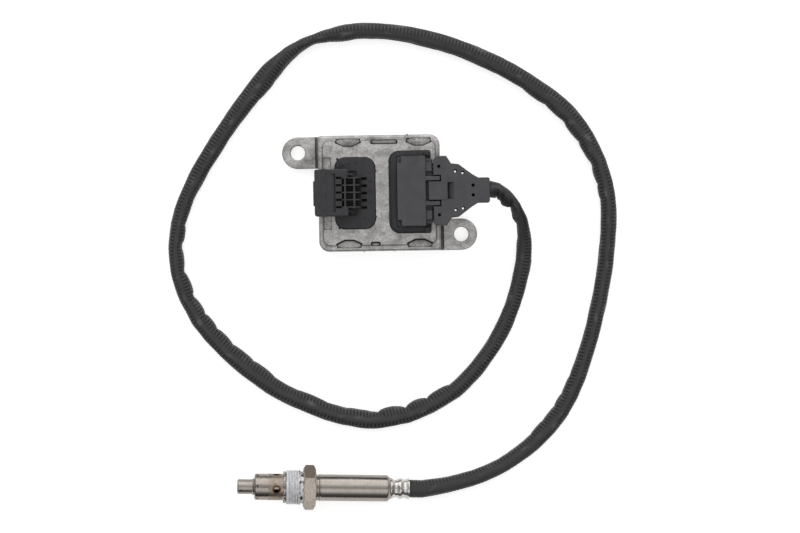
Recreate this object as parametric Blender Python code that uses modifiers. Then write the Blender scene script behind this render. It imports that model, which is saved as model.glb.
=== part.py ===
"""Nitrogen oxide sensor of an exhaust system: a control unit in a cast housing, its cable and its probe.

Metres, +Z up. The origin is the middle of the control unit's underside, and the cable and the probe lie on
the surface that the control unit stands on. Run it with blender --background --python part.py.
"""

import math

import bmesh
import bpy
from mathutils import Matrix, Vector

MM = 0.001

# Clearances
GAP = 0.3 * MM  # between two pieces that touch
SEAL_GAP = 0.1 * MM  # on each side of a soft seal

# Cast housing of the control unit
HOUSING_LENGTH = 68.7 * MM
HOUSING_WIDTH = 65.3 * MM
HOUSING_HEIGHT = 16.0 * MM  # up to the plateau
HOUSING_WALL = 2.4 * MM
HOUSING_ROOF = 3.2 * MM
HOUSING_CORNER = 5.8 * MM  # the two corners without an ear
EAR_CORNER = 1.8 * MM  # the two corners beside an ear
RIM_DROP = 0.8 * MM  # the rim lies this far below the plateau
RIM_ROUND = 1.5 * MM
PLATEAU_INSET_X = 2.7 * MM
PLATEAU_INSET_Y = 3.3 * MM
PLATEAU_CORNER = 4.0 * MM

# Fixing ears, at the housing's left rear and right front corners
EAR_RADIUS = 8.95 * MM
EAR_REACH = 11.7 * MM  # from the housing's side to the hole's middle
EAR_HOLE = 8.3 * MM
EAR_HEIGHT = 5.0 * MM
EAR_GROOVE_WIDTH = 2.0 * MM
EAR_GROOVE_DEPTH = 1.8 * MM

# Pockets cast into the plateau's edges
POCKET_DEPTH = 1.5 * MM
POCKET_MIDDLES = (-17.3 * MM, 22.5 * MM)
POCKET_WIDTH = 14.1 * MM
POCKET_FLOOR_WIDTH = 4.9 * MM
POCKET_SIDE = 3.9 * MM
POCKET_REACH = 6.1 * MM
SLOT_POCKET = (-4.6 * MM, 10.6 * MM)
NOTCH_POCKET = (-5.2 * MM, -0.1 * MM)
EDGE_POCKET_REACH = 4.9 * MM
SIDE_RECESS_LEFT = 2.9 * MM  # from the housing's left side
SIDE_RECESS_WIDTH = 4.5 * MM
SIDE_RECESS_HALF = 20.3 * MM
SIDE_RECESS_DEPTH = 0.5 * MM

# Base plate and circuit board
REBATE_WALL = 1.2 * MM
BASE_PLATE = 1.4 * MM
BASE_GASKET = 0.6 * MM
GASKET_WIDTH = 2.0 * MM
BOARD_STANDOFF = 3.4 * MM
BOARD_THICKNESS = 1.6 * MM
BOARD_MARGIN = 2.4 * MM
POST_RADIUS = 2.5 * MM
POST_INSET = 4.0 * MM
PROCESSOR_SIDE = 12.0 * MM
DRIVER_LENGTH = 9.0 * MM
DRIVER_WIDTH = 7.0 * MM
CHIP_HEIGHT = 1.6 * MM
COIL_RADIUS = 4.2 * MM
COIL_HEADROOM = 0.4 * MM  # under the vehicle header
CAPACITOR_RADIUS = 3.1 * MM
CAPACITOR_HEADROOM = 1.4 * MM  # under the roof
CRYSTAL_LENGTH = 4.8 * MM
CRYSTAL_WIDTH = 3.0 * MM
CRYSTAL_HEIGHT = 1.0 * MM

# Flanges of the two moulded headers, each in a recess of the roof
FLANGE_PROUD = 0.6 * MM
FLANGE_THICKNESS = 1.7 * MM
FLANGE_SEAL = 0.7 * MM
FLANGE_LEDGE = 1.6 * MM  # width of the ledge that carries it
FLANGE_CORNER = 5.6 * MM
SPIGOT_DEPTH = 3.4 * MM  # the header's body below its flange

# Vehicle header: flange, socket shroud and coring lattice
VEHICLE_FLANGE_LEFT = -24.7 * MM
VEHICLE_FLANGE_LENGTH = 22.3 * MM
VEHICLE_FLANGE_WIDTH = 39.8 * MM
SHROUD_LEFT = -35.9 * MM
SHROUD_LENGTH = 18.8 * MM
SHROUD_WIDTH = 26.0 * MM
SHROUD_LIFT = 0.3 * MM  # over the flange
SHROUD_HEIGHT = 14.0 * MM
SHROUD_WALL = 1.8 * MM
SHROUD_ROUND = 0.8 * MM
SOCKET_DEPTH = 11.6 * MM
MOUTH_LIP_REACH = 1.2 * MM
MOUTH_LIP_WIDTH = 14.0 * MM
LATTICE_LENGTH = 6.6 * MM  # past the shroud
LATTICE_PITCH = 4.07 * MM
LATTICE_RIB = 0.8 * MM
LATTICE_DROP = 0.9 * MM  # below the shroud's top
LATTICE_CELL_DEPTH = 5.4 * MM
LATTICE_CELLS = (2.0 * MM, 4.3 * MM, 3.0 * MM)  # lengths of the three cells of a row
LATTICE_SLOT = 0.9 * MM
LATTICE_SLOT_LENGTH = 3.2 * MM
LATTICE_SLOT_DEPTH = 0.9 * MM
VEHICLE_PIN = 0.9 * MM
VEHICLE_PIN_OUT = 8.6 * MM  # free length in the socket
VEHICLE_PIN_LIFT = 4.6 * MM  # of the pins' middle over the shroud's underside
VEHICLE_PIN_FOOT = -13.6 * MM  # where the pins turn down to the board
VEHICLE_PINS = 5

# Sensor header, plug and wire cover
SENSOR_FLANGE_LEFT = 5.8 * MM
SENSOR_FLANGE_LENGTH = 22.8 * MM
SENSOR_FLANGE_WIDTH = 45.6 * MM
SENSOR_CORNER = 1.0 * MM
PLUG_Y = 0.3 * MM  # the sensor side lies this far off the middle
FRAME_HEIGHT = 2.4 * MM  # over the flange
PLUG_LEFT = 10.0 * MM
PLUG_LENGTH = 16.0 * MM
PLUG_WIDTH = 39.0 * MM
PLUG_RISE = 5.5 * MM  # over the contacts' middle
PLUG_ROUND = 0.6 * MM
PLUG_NOTCH = (2.4 * MM, 3.6 * MM)  # steps out of its two left corners
PLUG_SEAL = 0.6 * MM
PLUG_SEAL_WIDTH = 1.6 * MM
PLUG_STEP_LENGTH = 3.8 * MM
PLUG_STEP_WIDTH = 36.0 * MM
PLUG_STEP_RISE = 2.2 * MM  # over the contacts' middle
PLUG_STEP_GAP = 0.5 * MM  # over the header's frame
GUARD_BAR = 2.5 * MM
GUARD_BAR_LENGTH = 8.0 * MM
GUARD_BAR_HEIGHT = 2.6 * MM
SENSOR_WIRE_COUNT = 8
CONTACT_PITCH = 4.2 * MM
SENSOR_PIN = 0.8 * MM
SENSOR_PIN_X = 18.0 * MM
CONTACT_RADIUS = 0.9 * MM
CONTACT_LENGTH = 6.0 * MM
CONTACT_LIFT = 6.8 * MM  # of the contacts' middle over the flange
WIRE_RADIUS = 0.7 * MM
COVER_DROP = 3.9 * MM  # below the contacts' middle
COVER_WALL = 1.4 * MM
COVER_ROUND = 0.6 * MM
COVER_CHAMFER = 2.0 * MM
COVER_GAP = 0.4 * MM
COVER_WIDTH = 38.6 * MM
COVER_SHOULDER = 7.4 * MM  # length of the full width
COVER_END = 61.6 * MM
NECK_WIDTH = 14.0 * MM
NECK_LENGTH = 6.4 * MM
WAIST_WIDTH = 30.2 * MM
WAIST_START = 20.6 * MM  # from the neck's end
WAIST_LENGTH = 3.4 * MM
TONGUE_WIDTH = 10.2 * MM
TONGUE_THICKNESS = 1.8 * MM
TONGUE_OUT = 2.6 * MM  # past the cover's edge, towards the plug
TONGUE_GAP = 0.6 * MM
TONGUE_WINDOW = 4.4 * MM
SIGHT_HOLE = 1.8 * MM
SIGHT_HOLES = ((42.6 * MM, 10.8 * MM), (46.7 * MM, 9.9 * MM))  # from the cover's axis, on both sides
BLIND_HOLES = ((33.4 * MM, 13.5 * MM), (52.3 * MM, 2.7 * MM))
BLIND_DEPTH = 0.9 * MM
WIRE_ROW = 2.0 * MM  # between the two rows of wires in the neck
WIRE_COLUMN = 2.0 * MM

# Probe, measured along its axis from the tip
PROBE_TIP = (-82.6 * MM, -163.9 * MM)
PROBE_YAW = math.radians(-2.1)
TUBE_WALL = 0.5 * MM
TIP_RADIUS = 4.25 * MM
TIP_ROUND = 0.9 * MM
TIP_HOLE = 2.4 * MM
TIP_BEAD = 0.6 * MM
OUTER_START = 9.7 * MM
OUTER_RADIUS = 7.4 * MM
OUTER_LENGTH = 15.8 * MM
OUTER_ROUND = 0.8 * MM
SMALL_HOLE = 1.1 * MM
SMALL_HOLES = 6
SMALL_HOLE_AT = 1.6 * MM  # behind the outer tube's front
SMALL_HOLE_TURN = math.radians(-8)
LARGE_HOLE = 3.4 * MM
LARGE_HOLES = 4
LARGE_HOLE_AT = 12.3 * MM
LARGE_HOLE_TURN = math.radians(6)
SEAT_RADIUS = 9.0 * MM
SEAT_LENGTH = 1.4 * MM
THREAD_RADIUS = 10.0 * MM
THREAD_LENGTH = 7.4 * MM
THREAD_CHAMFER = 0.7 * MM
RELIEF_RADIUS = 9.0 * MM
RELIEF_LENGTH = 2.2 * MM
HEX_FLATS = 22.0 * MM
HEX_LENGTH = 7.0 * MM
HEX_CHAMFER = 1.0 * MM
SLEEVE_RADIUS = 7.45 * MM
SLEEVE_LENGTH = 40.4 * MM  # its straight part
SHOULDER_LENGTH = 2.0 * MM
COLLAR_RADIUS = 5.6 * MM
COLLAR_LENGTH = 10.2 * MM
CRIMP_DEPTH = 0.3 * MM
SHELL_SPIGOT = 5.6 * MM  # the body's length inside the sleeve
SHELL_BORE = 4.7 * MM
SHELL_NOSE_BORE = 3.6 * MM
ELEMENT_WIDTH = 4.2 * MM
ELEMENT_THICKNESS = 1.7 * MM
ELEMENT_START = 3.0 * MM
ELEMENT_IN_HOLDER = 10.9 * MM  # how far its rear end reaches into the contact holder
FRONT_INSULATOR = 5.0 * MM
TALC_LENGTH = 6.0 * MM
HOLDER_BEHIND = 1.6 * MM  # behind the probe's shell
HOLDER_LENGTH = 14.0 * MM
SPRING_RADIUS = 0.32 * MM
SPRING_PITCH = 1.05 * MM
SPRING_LENGTH = 8.0 * MM
LEAD_PITCH = 1.7 * MM
LEAD_SPREAD = 1.25 * MM
LEAD_RADIUS = 0.65 * MM
LEAD_FAN = 4.0 * MM  # length over which the leads spread behind the holder
GROMMET_HEAD = 4.0 * MM
GROMMET_WALL = 0.7 * MM

# Cable: the ribbed sleeve round the wires
CABLE_DIAMETER = 9.5 * MM
CABLE_POINT_COUNT = 64
# The route in millimetres, chosen by hand from the neck of the wire cover to the crimped collar
CABLE_ROUTE = (
    (68.5, -1.2, 23.2), (72.5, -4.6, 21.2), (76.5, -9.6, 18.0), (80.4, -19.5, 12.0),
    (81.6, -32.0, 6.9), (79.9, -44.6, 5.1), (73.3, -67.2, 4.9), (61.3, -89.8, 4.9), (43.4, -110.2, 4.9),
    (26.7, -120.7, 4.9), (9.6, -126.7, 4.9), (-7.4, -128.4, 4.9), (-24.4, -125.3, 4.9), (-41.3, -119.1, 4.9),
    (-58.2, -110.9, 4.9), (-75.1, -99.0, 4.9), (-90.8, -85.1, 4.9), (-103.6, -69.6, 4.9), (-112.6, -51.3, 4.9),
    (-116.3, -31.3, 4.9), (-113.1, -10.4, 4.9), (-104.0, 9.9, 4.9), (-90.6, 31.8, 4.9), (-75.0, 53.1, 4.9),
    (-59.3, 71.6, 4.9), (-43.2, 84.7, 4.9), (-23.9, 90.9, 4.9), (-4.0, 92.3, 4.9), (18.7, 89.7, 4.9),
    (41.3, 83.4, 4.9), (63.9, 73.9, 4.9), (86.4, 61.1, 4.9), (106.8, 44.6, 4.9), (121.8, 22.2, 4.9),
    (129.1, -1.7, 4.9), (128.9, -28.4, 4.9), (124.2, -59.5, 4.9), (116.6, -88.9, 4.9), (105.1, -117.7, 4.9),
    (88.9, -139.0, 4.9), (65.9, -155.7, 4.9), (43.1, -164.0, 5.2), (24.0, -167.3, 5.9),
)

# Fineness of round shapes
CORNER_STEPS = 4
TURN_STEPS = 32
HOLE_STEPS = 12
SMOOTH_ANGLE = math.radians(35)

# Heights and places that follow from the sizes above
RIM_TOP = HOUSING_HEIGHT - RIM_DROP
ROOF_UNDER = HOUSING_HEIGHT - HOUSING_ROOF
FLANGE_TOP = HOUSING_HEIGHT + FLANGE_PROUD
FLANGE_UNDER = FLANGE_TOP - FLANGE_THICKNESS
RECESS_FLOOR = FLANGE_UNDER - FLANGE_SEAL - 2 * SEAL_GAP
REBATE_TOP = BASE_PLATE + BASE_GASKET + 2 * SEAL_GAP
BOARD_UNDER = BASE_PLATE + BOARD_STANDOFF
BOARD_TOP = BOARD_UNDER + BOARD_THICKNESS
EAR_X = HOUSING_LENGTH / 2 + EAR_REACH
EAR_Y = HOUSING_WIDTH / 2 - EAR_RADIUS
SHROUD_RIGHT = SHROUD_LEFT + SHROUD_LENGTH
SHROUD_BOTTOM = FLANGE_TOP + SHROUD_LIFT
SHROUD_TOP = SHROUD_BOTTOM + SHROUD_HEIGHT
VEHICLE_PIN_HEIGHT = SHROUD_BOTTOM + VEHICLE_PIN_LIFT
LATTICE_RIGHT = SHROUD_RIGHT + LATTICE_LENGTH
LATTICE_TOP = SHROUD_TOP - LATTICE_DROP
FRAME_TOP = FLANGE_TOP + FRAME_HEIGHT
CONTACT_HEIGHT = FLANGE_TOP + CONTACT_LIFT
PLUG_RIGHT = PLUG_LEFT + PLUG_LENGTH
PLUG_UNDER = FLANGE_TOP + PLUG_SEAL + 2 * SEAL_GAP
PLUG_TOP = CONTACT_HEIGHT + PLUG_RISE
PLUG_STEP_TOP = CONTACT_HEIGHT + PLUG_STEP_RISE
COVER_BOTTOM = CONTACT_HEIGHT - COVER_DROP
COVER_TOP = PLUG_TOP
COVER_START = PLUG_RIGHT + PLUG_STEP_LENGTH + COVER_GAP
SEAT_START = OUTER_START + OUTER_LENGTH + GAP
THREAD_START = SEAT_START + SEAT_LENGTH + GAP
HEX_START = THREAD_START + THREAD_LENGTH + RELIEF_LENGTH
HEX_END = HEX_START + HEX_LENGTH
SLEEVE_START = HEX_END + GAP
SLEEVE_END = SLEEVE_START + SLEEVE_LENGTH
COLLAR_START = SLEEVE_END + SHOULDER_LENGTH
PROBE_LENGTH = COLLAR_START + COLLAR_LENGTH
JOURNAL_RADIUS = min(OUTER_RADIUS, SLEEVE_RADIUS) - TUBE_WALL - GAP
SHELL_END = SLEEVE_START + SHELL_SPIGOT
HOLDER_START = SHELL_END + HOLDER_BEHIND
ELEMENT_END = HOLDER_START + ELEMENT_IN_HOLDER


def new_collection(name):
    collection = bpy.data.collections.new(name)
    bpy.context.scene.collection.children.link(collection)
    return collection


def finish(name, colour, roughness, metallic=0.0):
    """A material from an sRGB hex colour."""
    def linear(value):
        return value / 12.92 if value <= 0.04045 else ((value + 0.055) / 1.055) ** 2.4

    material = bpy.data.materials.new(name)
    material.use_nodes = True
    shader = material.node_tree.nodes["Principled BSDF"]
    levels = [linear(int(colour[i:i + 2], 16) / 255) for i in (1, 3, 5)]
    shader.inputs["Base Color"].default_value = (*levels, 1)
    shader.inputs["Roughness"].default_value = roughness
    shader.inputs["Metallic"].default_value = metallic
    material.diffuse_color = (*levels, 1)
    return material


def place(name, mesh, material, parent=None):
    """Makes an object of a mesh: a piece with its material, or a hidden helper for a Boolean without one."""
    thing = bpy.data.objects.new(name, mesh)
    if material:
        PIECES.objects.link(thing)
        mesh.materials.append(material)
    else:
        HELPERS.objects.link(thing)
        thing.hide_render = True
        thing.display_type = "WIRE"
    thing.parent = parent
    mesh.shade_smooth()
    mesh.set_sharp_from_angle(angle=SMOOTH_ANGLE)
    return thing


def as_mesh(shape, material, parent=None):
    """Turns a curve or a shape with modifiers into one welded mesh of the same name and place."""
    name = shape.name
    bpy.context.scene.collection.objects.link(shape)
    bpy.context.view_layer.update()
    graph = bpy.context.evaluated_depsgraph_get()
    mesh = bpy.data.meshes.new_from_object(shape.evaluated_get(graph))
    location = shape.location.copy()
    bpy.data.objects.remove(shape)
    welded = bmesh.new()
    welded.from_mesh(mesh)
    bmesh.ops.remove_doubles(welded, verts=welded.verts, dist=0.001 * MM)
    bmesh.ops.recalc_face_normals(welded, faces=welded.faces)
    welded.to_mesh(mesh)
    welded.free()
    mesh.materials.clear()
    thing = place(name, mesh, material, parent)
    thing.location = location
    return thing


def plate(name, outlines, bottom, top, material=None):
    """A flat piece between two heights. The outlines after the first are its holes."""
    curve = bpy.data.curves.new(name, "CURVE")
    curve.dimensions = "2D"
    curve.fill_mode = "BOTH"
    curve.extrude = (top - bottom) / 2
    for outline in outlines:
        spline = curve.splines.new("POLY")
        spline.points.add(len(outline) - 1)
        for point, (x, y) in zip(spline.points, outline):
            point.co = (x, y, 0, 1)
        spline.use_cyclic_u = True
    shape = bpy.data.objects.new(name, curve)
    shape.location.z = (bottom + top) / 2
    return as_mesh(shape, material)


def blocks(name, corners, material=None, parent=None):
    """One mesh of boxes, each given by its lowest and its highest corner."""
    mesh = bpy.data.meshes.new(name)
    made = bmesh.new()
    for low, high in corners:
        low, high = Vector(low), Vector(high)
        bmesh.ops.create_cube(made, size=1, matrix=Matrix.LocRotScale((low + high) / 2, None, high - low))
    made.to_mesh(mesh)
    made.free()
    return place(name, mesh, material, parent)


def rods(name, radius, ends, steps=HOLE_STEPS, material=None, parent=None):
    """One mesh of straight round rods, each given by its two ends."""
    mesh = bpy.data.meshes.new(name)
    made = bmesh.new()
    for start, end in ends:
        start, end = Vector(start), Vector(end)
        turn = (end - start).to_track_quat("Z", "X")
        bmesh.ops.create_cone(
            made, cap_ends=True, segments=steps, radius1=radius, radius2=radius, depth=(end - start).length,
            matrix=Matrix.LocRotScale((start + end) / 2, turn, None),
        )
    made.to_mesh(mesh)
    made.free()
    return place(name, mesh, material, parent)


def turned(name, outer, inner, material=None, parent=None):
    """A shape turned about Z from (radius, height) points: outer runs down its outside, inner up its bore."""
    profile = bpy.data.meshes.new(name)
    points = [(radius, 0, height) for radius, height in [*outer, *inner]]
    edges = [(i, i + 1) for i in range(len(points) - 1)]
    if inner:
        edges.append((len(points) - 1, 0))
    profile.from_pydata(points, edges, [])
    shape = bpy.data.objects.new(name, profile)
    screw = shape.modifiers.new("Turn", "SCREW")
    screw.steps = screw.render_steps = TURN_STEPS
    screw.use_merge_vertices = True
    screw.merge_threshold = 0.01 * MM
    return as_mesh(shape, material, parent)


def tube(name, points, radius, material, radii=None, parent=None, sides=2):
    """A round tube with flat ends along points, which radii can make thicker or thinner."""
    curve = bpy.data.curves.new(name, "CURVE")
    curve.dimensions = "3D"
    curve.bevel_depth = radius
    curve.bevel_resolution = sides
    curve.use_fill_caps = True
    spline = curve.splines.new("POLY")
    spline.points.add(len(points) - 1)
    for i, place_of in enumerate(points):
        spline.points[i].co = (*place_of, 1)
        spline.points[i].radius = radii[i] / radius if radii else 1
    curve.materials.append(material)
    thing = bpy.data.objects.new(name, curve)
    PIECES.objects.link(thing)
    thing.parent = parent
    return thing


def boolean(piece, other, operation):
    modifier = piece.modifiers.new(other.name, "BOOLEAN")
    modifier.operation = operation
    modifier.object = other
    modifier.solver = "EXACT"


def cut(piece, *cutters):
    for cutter in cutters:
        boolean(piece, cutter, "DIFFERENCE")


def join(piece, *others):
    for other in others:
        boolean(piece, other, "UNION")


def soften(thing, width, segments=2):
    """Rounds the sharp edges of a piece."""
    bevel = thing.modifiers.new("Rounded edges", "BEVEL")
    bevel.width = width
    bevel.segments = segments
    bevel.limit_method = "ANGLE"
    bevel.angle_limit = SMOOTH_ANGLE


def soften_top(thing, width, segments=2):
    """Rounds only the edges of a plate's top."""
    made = bmesh.new()
    made.from_mesh(thing.data)
    top = max(vertex.co.z for vertex in made.verts)
    rim = [e for e in made.edges if e.is_manifold and all(top - v.co.z < 0.01 * MM for v in e.verts)
           and e.calc_face_angle(0) > SMOOTH_ANGLE]
    bmesh.ops.bevel(made, geom=rim, offset=width, segments=segments, profile=0.5, affect="EDGES")
    made.to_mesh(thing.data)
    made.free()


def arc(x, y, radius, start, end, steps=CORNER_STEPS):
    """Points of an arc between two angles in degrees."""
    angles = [math.radians(start + (end - start) * i / steps) for i in range(steps + 1)]
    return [(x + radius * math.cos(a), y + radius * math.sin(a)) for a in angles]


def rectangle(left, right, front, rear, corners):
    """Outline of a rectangle with its corners' radii: right rear, left rear, left front and right front."""
    a, b, c, d = corners
    return [
        *arc(right - a, rear - a, a, 0, 90), *arc(left + b, rear - b, b, 90, 180),
        *arc(left + c, front + c, c, 180, 270), *arc(right - d, front + d, d, 270, 360),
    ]


def housing_outline(inset):
    """The housing's outline, moved inwards by inset."""
    half_x, half_y = HOUSING_LENGTH / 2 - inset, HOUSING_WIDTH / 2 - inset
    large = max(HOUSING_CORNER - inset, 0.3 * MM)
    small = max(EAR_CORNER - inset, 0.3 * MM)
    return rectangle(-half_x, half_x, -half_y, half_y, (large, small, large, small))


def spread(count, pitch):
    """Places of like things, spaced evenly about zero."""
    return [(i - (count - 1) / 2) * pitch for i in range(count)]


def vehicle_flange(inset):
    left = VEHICLE_FLANGE_LEFT + inset
    right = VEHICLE_FLANGE_LEFT + VEHICLE_FLANGE_LENGTH - inset
    half = VEHICLE_FLANGE_WIDTH / 2 - inset
    radius = max(FLANGE_CORNER - inset, 0.3 * MM)
    return rectangle(left, right, -half, half, (radius,) * 4)


def sensor_flange(inset):
    left = SENSOR_FLANGE_LEFT + inset
    right = SENSOR_FLANGE_LEFT + SENSOR_FLANGE_LENGTH - inset
    half = SENSOR_FLANGE_WIDTH / 2 - inset
    large = max(FLANGE_CORNER - inset, 0.3 * MM)
    small = max(SENSOR_CORNER - inset, 0.3 * MM)
    return rectangle(left, right, PLUG_Y - half, PLUG_Y + half, (small, large, large, small))


def build_housing():
    housing = plate("upper_housing", [housing_outline(0)], 0, RIM_TOP, CAST_ALUMINIUM)
    soften_top(housing, RIM_ROUND)
    half_x, half_y = HOUSING_LENGTH / 2, HOUSING_WIDTH / 2
    plateau = plate(
        "plateau",
        [rectangle(PLATEAU_INSET_X - half_x, half_x - PLATEAU_INSET_X, PLATEAU_INSET_Y - half_y,
                   half_y - PLATEAU_INSET_Y, (PLATEAU_CORNER,) * 4)],
        RIM_TOP / 2, HOUSING_HEIGHT,
    )
    join(housing, plateau)
    for side in (-1, 1):
        turn = 90 if side < 0 else -90
        round_end = arc(side * EAR_X, -side * EAR_Y, EAR_RADIUS, turn, turn + 180, 4 * CORNER_STEPS)
        root = side * (half_x - HOUSING_WALL / 2)
        outline = [(root, round_end[0][1]), *round_end, (root, round_end[-1][1])]
        ear = plate(f"ear_{side}", [outline], 0, EAR_HEIGHT)
        join(housing, ear)
        groove = blocks(f"ear_groove_{side}", [(
            (min(side * half_x, side * (half_x + EAR_GROOVE_WIDTH)), -side * EAR_Y - 2 * EAR_RADIUS,
             EAR_HEIGHT - EAR_GROOVE_DEPTH),
            (max(side * half_x, side * (half_x + EAR_GROOVE_WIDTH)), -side * EAR_Y + 2 * EAR_RADIUS,
             2 * EAR_HEIGHT),
        )])
        cut(housing, groove)
    holes = rods("ear_holes", EAR_HOLE / 2, [
        ((side * EAR_X, -side * EAR_Y, -EAR_HEIGHT), (side * EAR_X, -side * EAR_Y, 2 * EAR_HEIGHT))
        for side in (-1, 1)
    ], TURN_STEPS)
    cavity = plate("cavity", [housing_outline(HOUSING_WALL)], -BASE_PLATE, ROOF_UNDER)
    rebate = plate("rebate", [housing_outline(REBATE_WALL)], -BASE_PLATE, REBATE_TOP)
    cut(housing, holes, cavity, rebate)
    for name, outline in (("vehicle", vehicle_flange), ("sensor", sensor_flange)):
        recess = plate(f"{name}_recess", [outline(-GAP)], RECESS_FLOOR, 2 * HOUSING_HEIGHT)
        window = plate(f"{name}_window", [outline(FLANGE_LEDGE)], ROOF_UNDER / 2, 2 * HOUSING_HEIGHT)
        cut(housing, recess, window)
    floor = HOUSING_HEIGHT - POCKET_DEPTH
    for side in (-1, 1):
        edge = side * (half_y + HOUSING_WALL)
        for number, middle in enumerate(POCKET_MIDDLES):
            steps = ((POCKET_WIDTH / 2, POCKET_SIDE), (POCKET_FLOOR_WIDTH / 2, POCKET_REACH))
            inner = [(middle - x, side * (half_y - y)) for x, y in steps]
            inner += [(middle + x, side * (half_y - y)) for x, y in reversed(steps)]
            outline = [(middle - POCKET_WIDTH / 2, edge), *inner, (middle + POCKET_WIDTH / 2, edge)]
            pocket = plate(f"pocket_{side}_{number}", [outline], floor, 2 * HOUSING_HEIGHT)
            cut(housing, pocket)
    edge_pockets = blocks("edge_pockets", [
        ((SLOT_POCKET[0], half_y - EDGE_POCKET_REACH, floor),
         (SLOT_POCKET[1], half_y - PLATEAU_INSET_Y + RIM_DROP, 2 * HOUSING_HEIGHT)),
        ((NOTCH_POCKET[0], PLATEAU_INSET_Y - RIM_DROP - half_y, floor),
         (NOTCH_POCKET[1], EDGE_POCKET_REACH - half_y, 2 * HOUSING_HEIGHT)),
    ])
    side_recess = blocks("side_recess", [(
        (SIDE_RECESS_LEFT - half_x, -SIDE_RECESS_HALF, HOUSING_HEIGHT - SIDE_RECESS_DEPTH),
        (SIDE_RECESS_LEFT + SIDE_RECESS_WIDTH - half_x, SIDE_RECESS_HALF, 2 * HOUSING_HEIGHT),
    )])
    cut(housing, edge_pockets, side_recess)


def build_base():
    base = plate("base_plate", [housing_outline(REBATE_WALL + GAP)], 0, BASE_PLATE, STEEL_SHEET)
    post_x = HOUSING_LENGTH / 2 - HOUSING_WALL - BOARD_MARGIN - POST_INSET
    post_y = HOUSING_WIDTH / 2 - HOUSING_WALL - BOARD_MARGIN - POST_INSET
    posts = rods("board_posts", POST_RADIUS, [
        ((x, y, BASE_PLATE / 2), (x, y, BOARD_UNDER - GAP))
        for x in (-post_x, post_x) for y in (-post_y, post_y)
    ])
    join(base, posts)
    plate(
        "base_gasket",
        [housing_outline(REBATE_WALL + GAP), housing_outline(REBATE_WALL + GAP + GASKET_WIDTH)],
        BASE_PLATE + SEAL_GAP, BASE_PLATE + SEAL_GAP + BASE_GASKET, SEALANT,
    )


def build_electronics():
    """The circuit board and what is soldered on it, clear of the pins that come down to it."""
    half_x = HOUSING_LENGTH / 2 - HOUSING_WALL - BOARD_MARGIN
    half_y = HOUSING_WIDTH / 2 - HOUSING_WALL - BOARD_MARGIN
    blocks("circuit_board", [((-half_x, -half_y, BOARD_UNDER), (half_x, half_y, BOARD_TOP))], BOARD_GREEN)
    ground = BOARD_TOP + SEAL_GAP
    gap_middle = (VEHICLE_PIN_FOOT + SENSOR_PIN_X) / 2
    left = (VEHICLE_PIN_FOOT - half_x) / 2

    def chip(name, x, y, length, width, height, material):
        low = (x - length / 2, y - width / 2, ground)
        high = (x + length / 2, y + width / 2, ground + height)
        blocks(name, [(low, high)], material)

    def can(name, x, y, radius, top, material):
        rods(name, radius, [((x, y, ground), (x, y, top))], 24, material)

    chip("processor_chip", gap_middle, 0, PROCESSOR_SIDE, PROCESSOR_SIDE, CHIP_HEIGHT, CHIP_BLACK)
    chip("driver_chip", left, -half_y / 2, DRIVER_WIDTH, DRIVER_LENGTH, CHIP_HEIGHT, CHIP_BLACK)
    crystal_y = PROCESSOR_SIDE / 2 + CRYSTAL_WIDTH
    chip("crystal", gap_middle, crystal_y, CRYSTAL_LENGTH, CRYSTAL_WIDTH, CRYSTAL_HEIGHT, BRIGHT_TIN)
    coil_top = FLANGE_UNDER - SPIGOT_DEPTH - COIL_HEADROOM
    can("coil_inductor", left, half_y / 2, COIL_RADIUS, coil_top, FERRITE)
    for number, side in enumerate((-1, 1), 1):
        can(f"capacitor_{number}", gap_middle, side * 0.75 * half_y, CAPACITOR_RADIUS,
            ROOF_UNDER - CAPACITOR_HEADROOM, BRIGHT_TIN)


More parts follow.
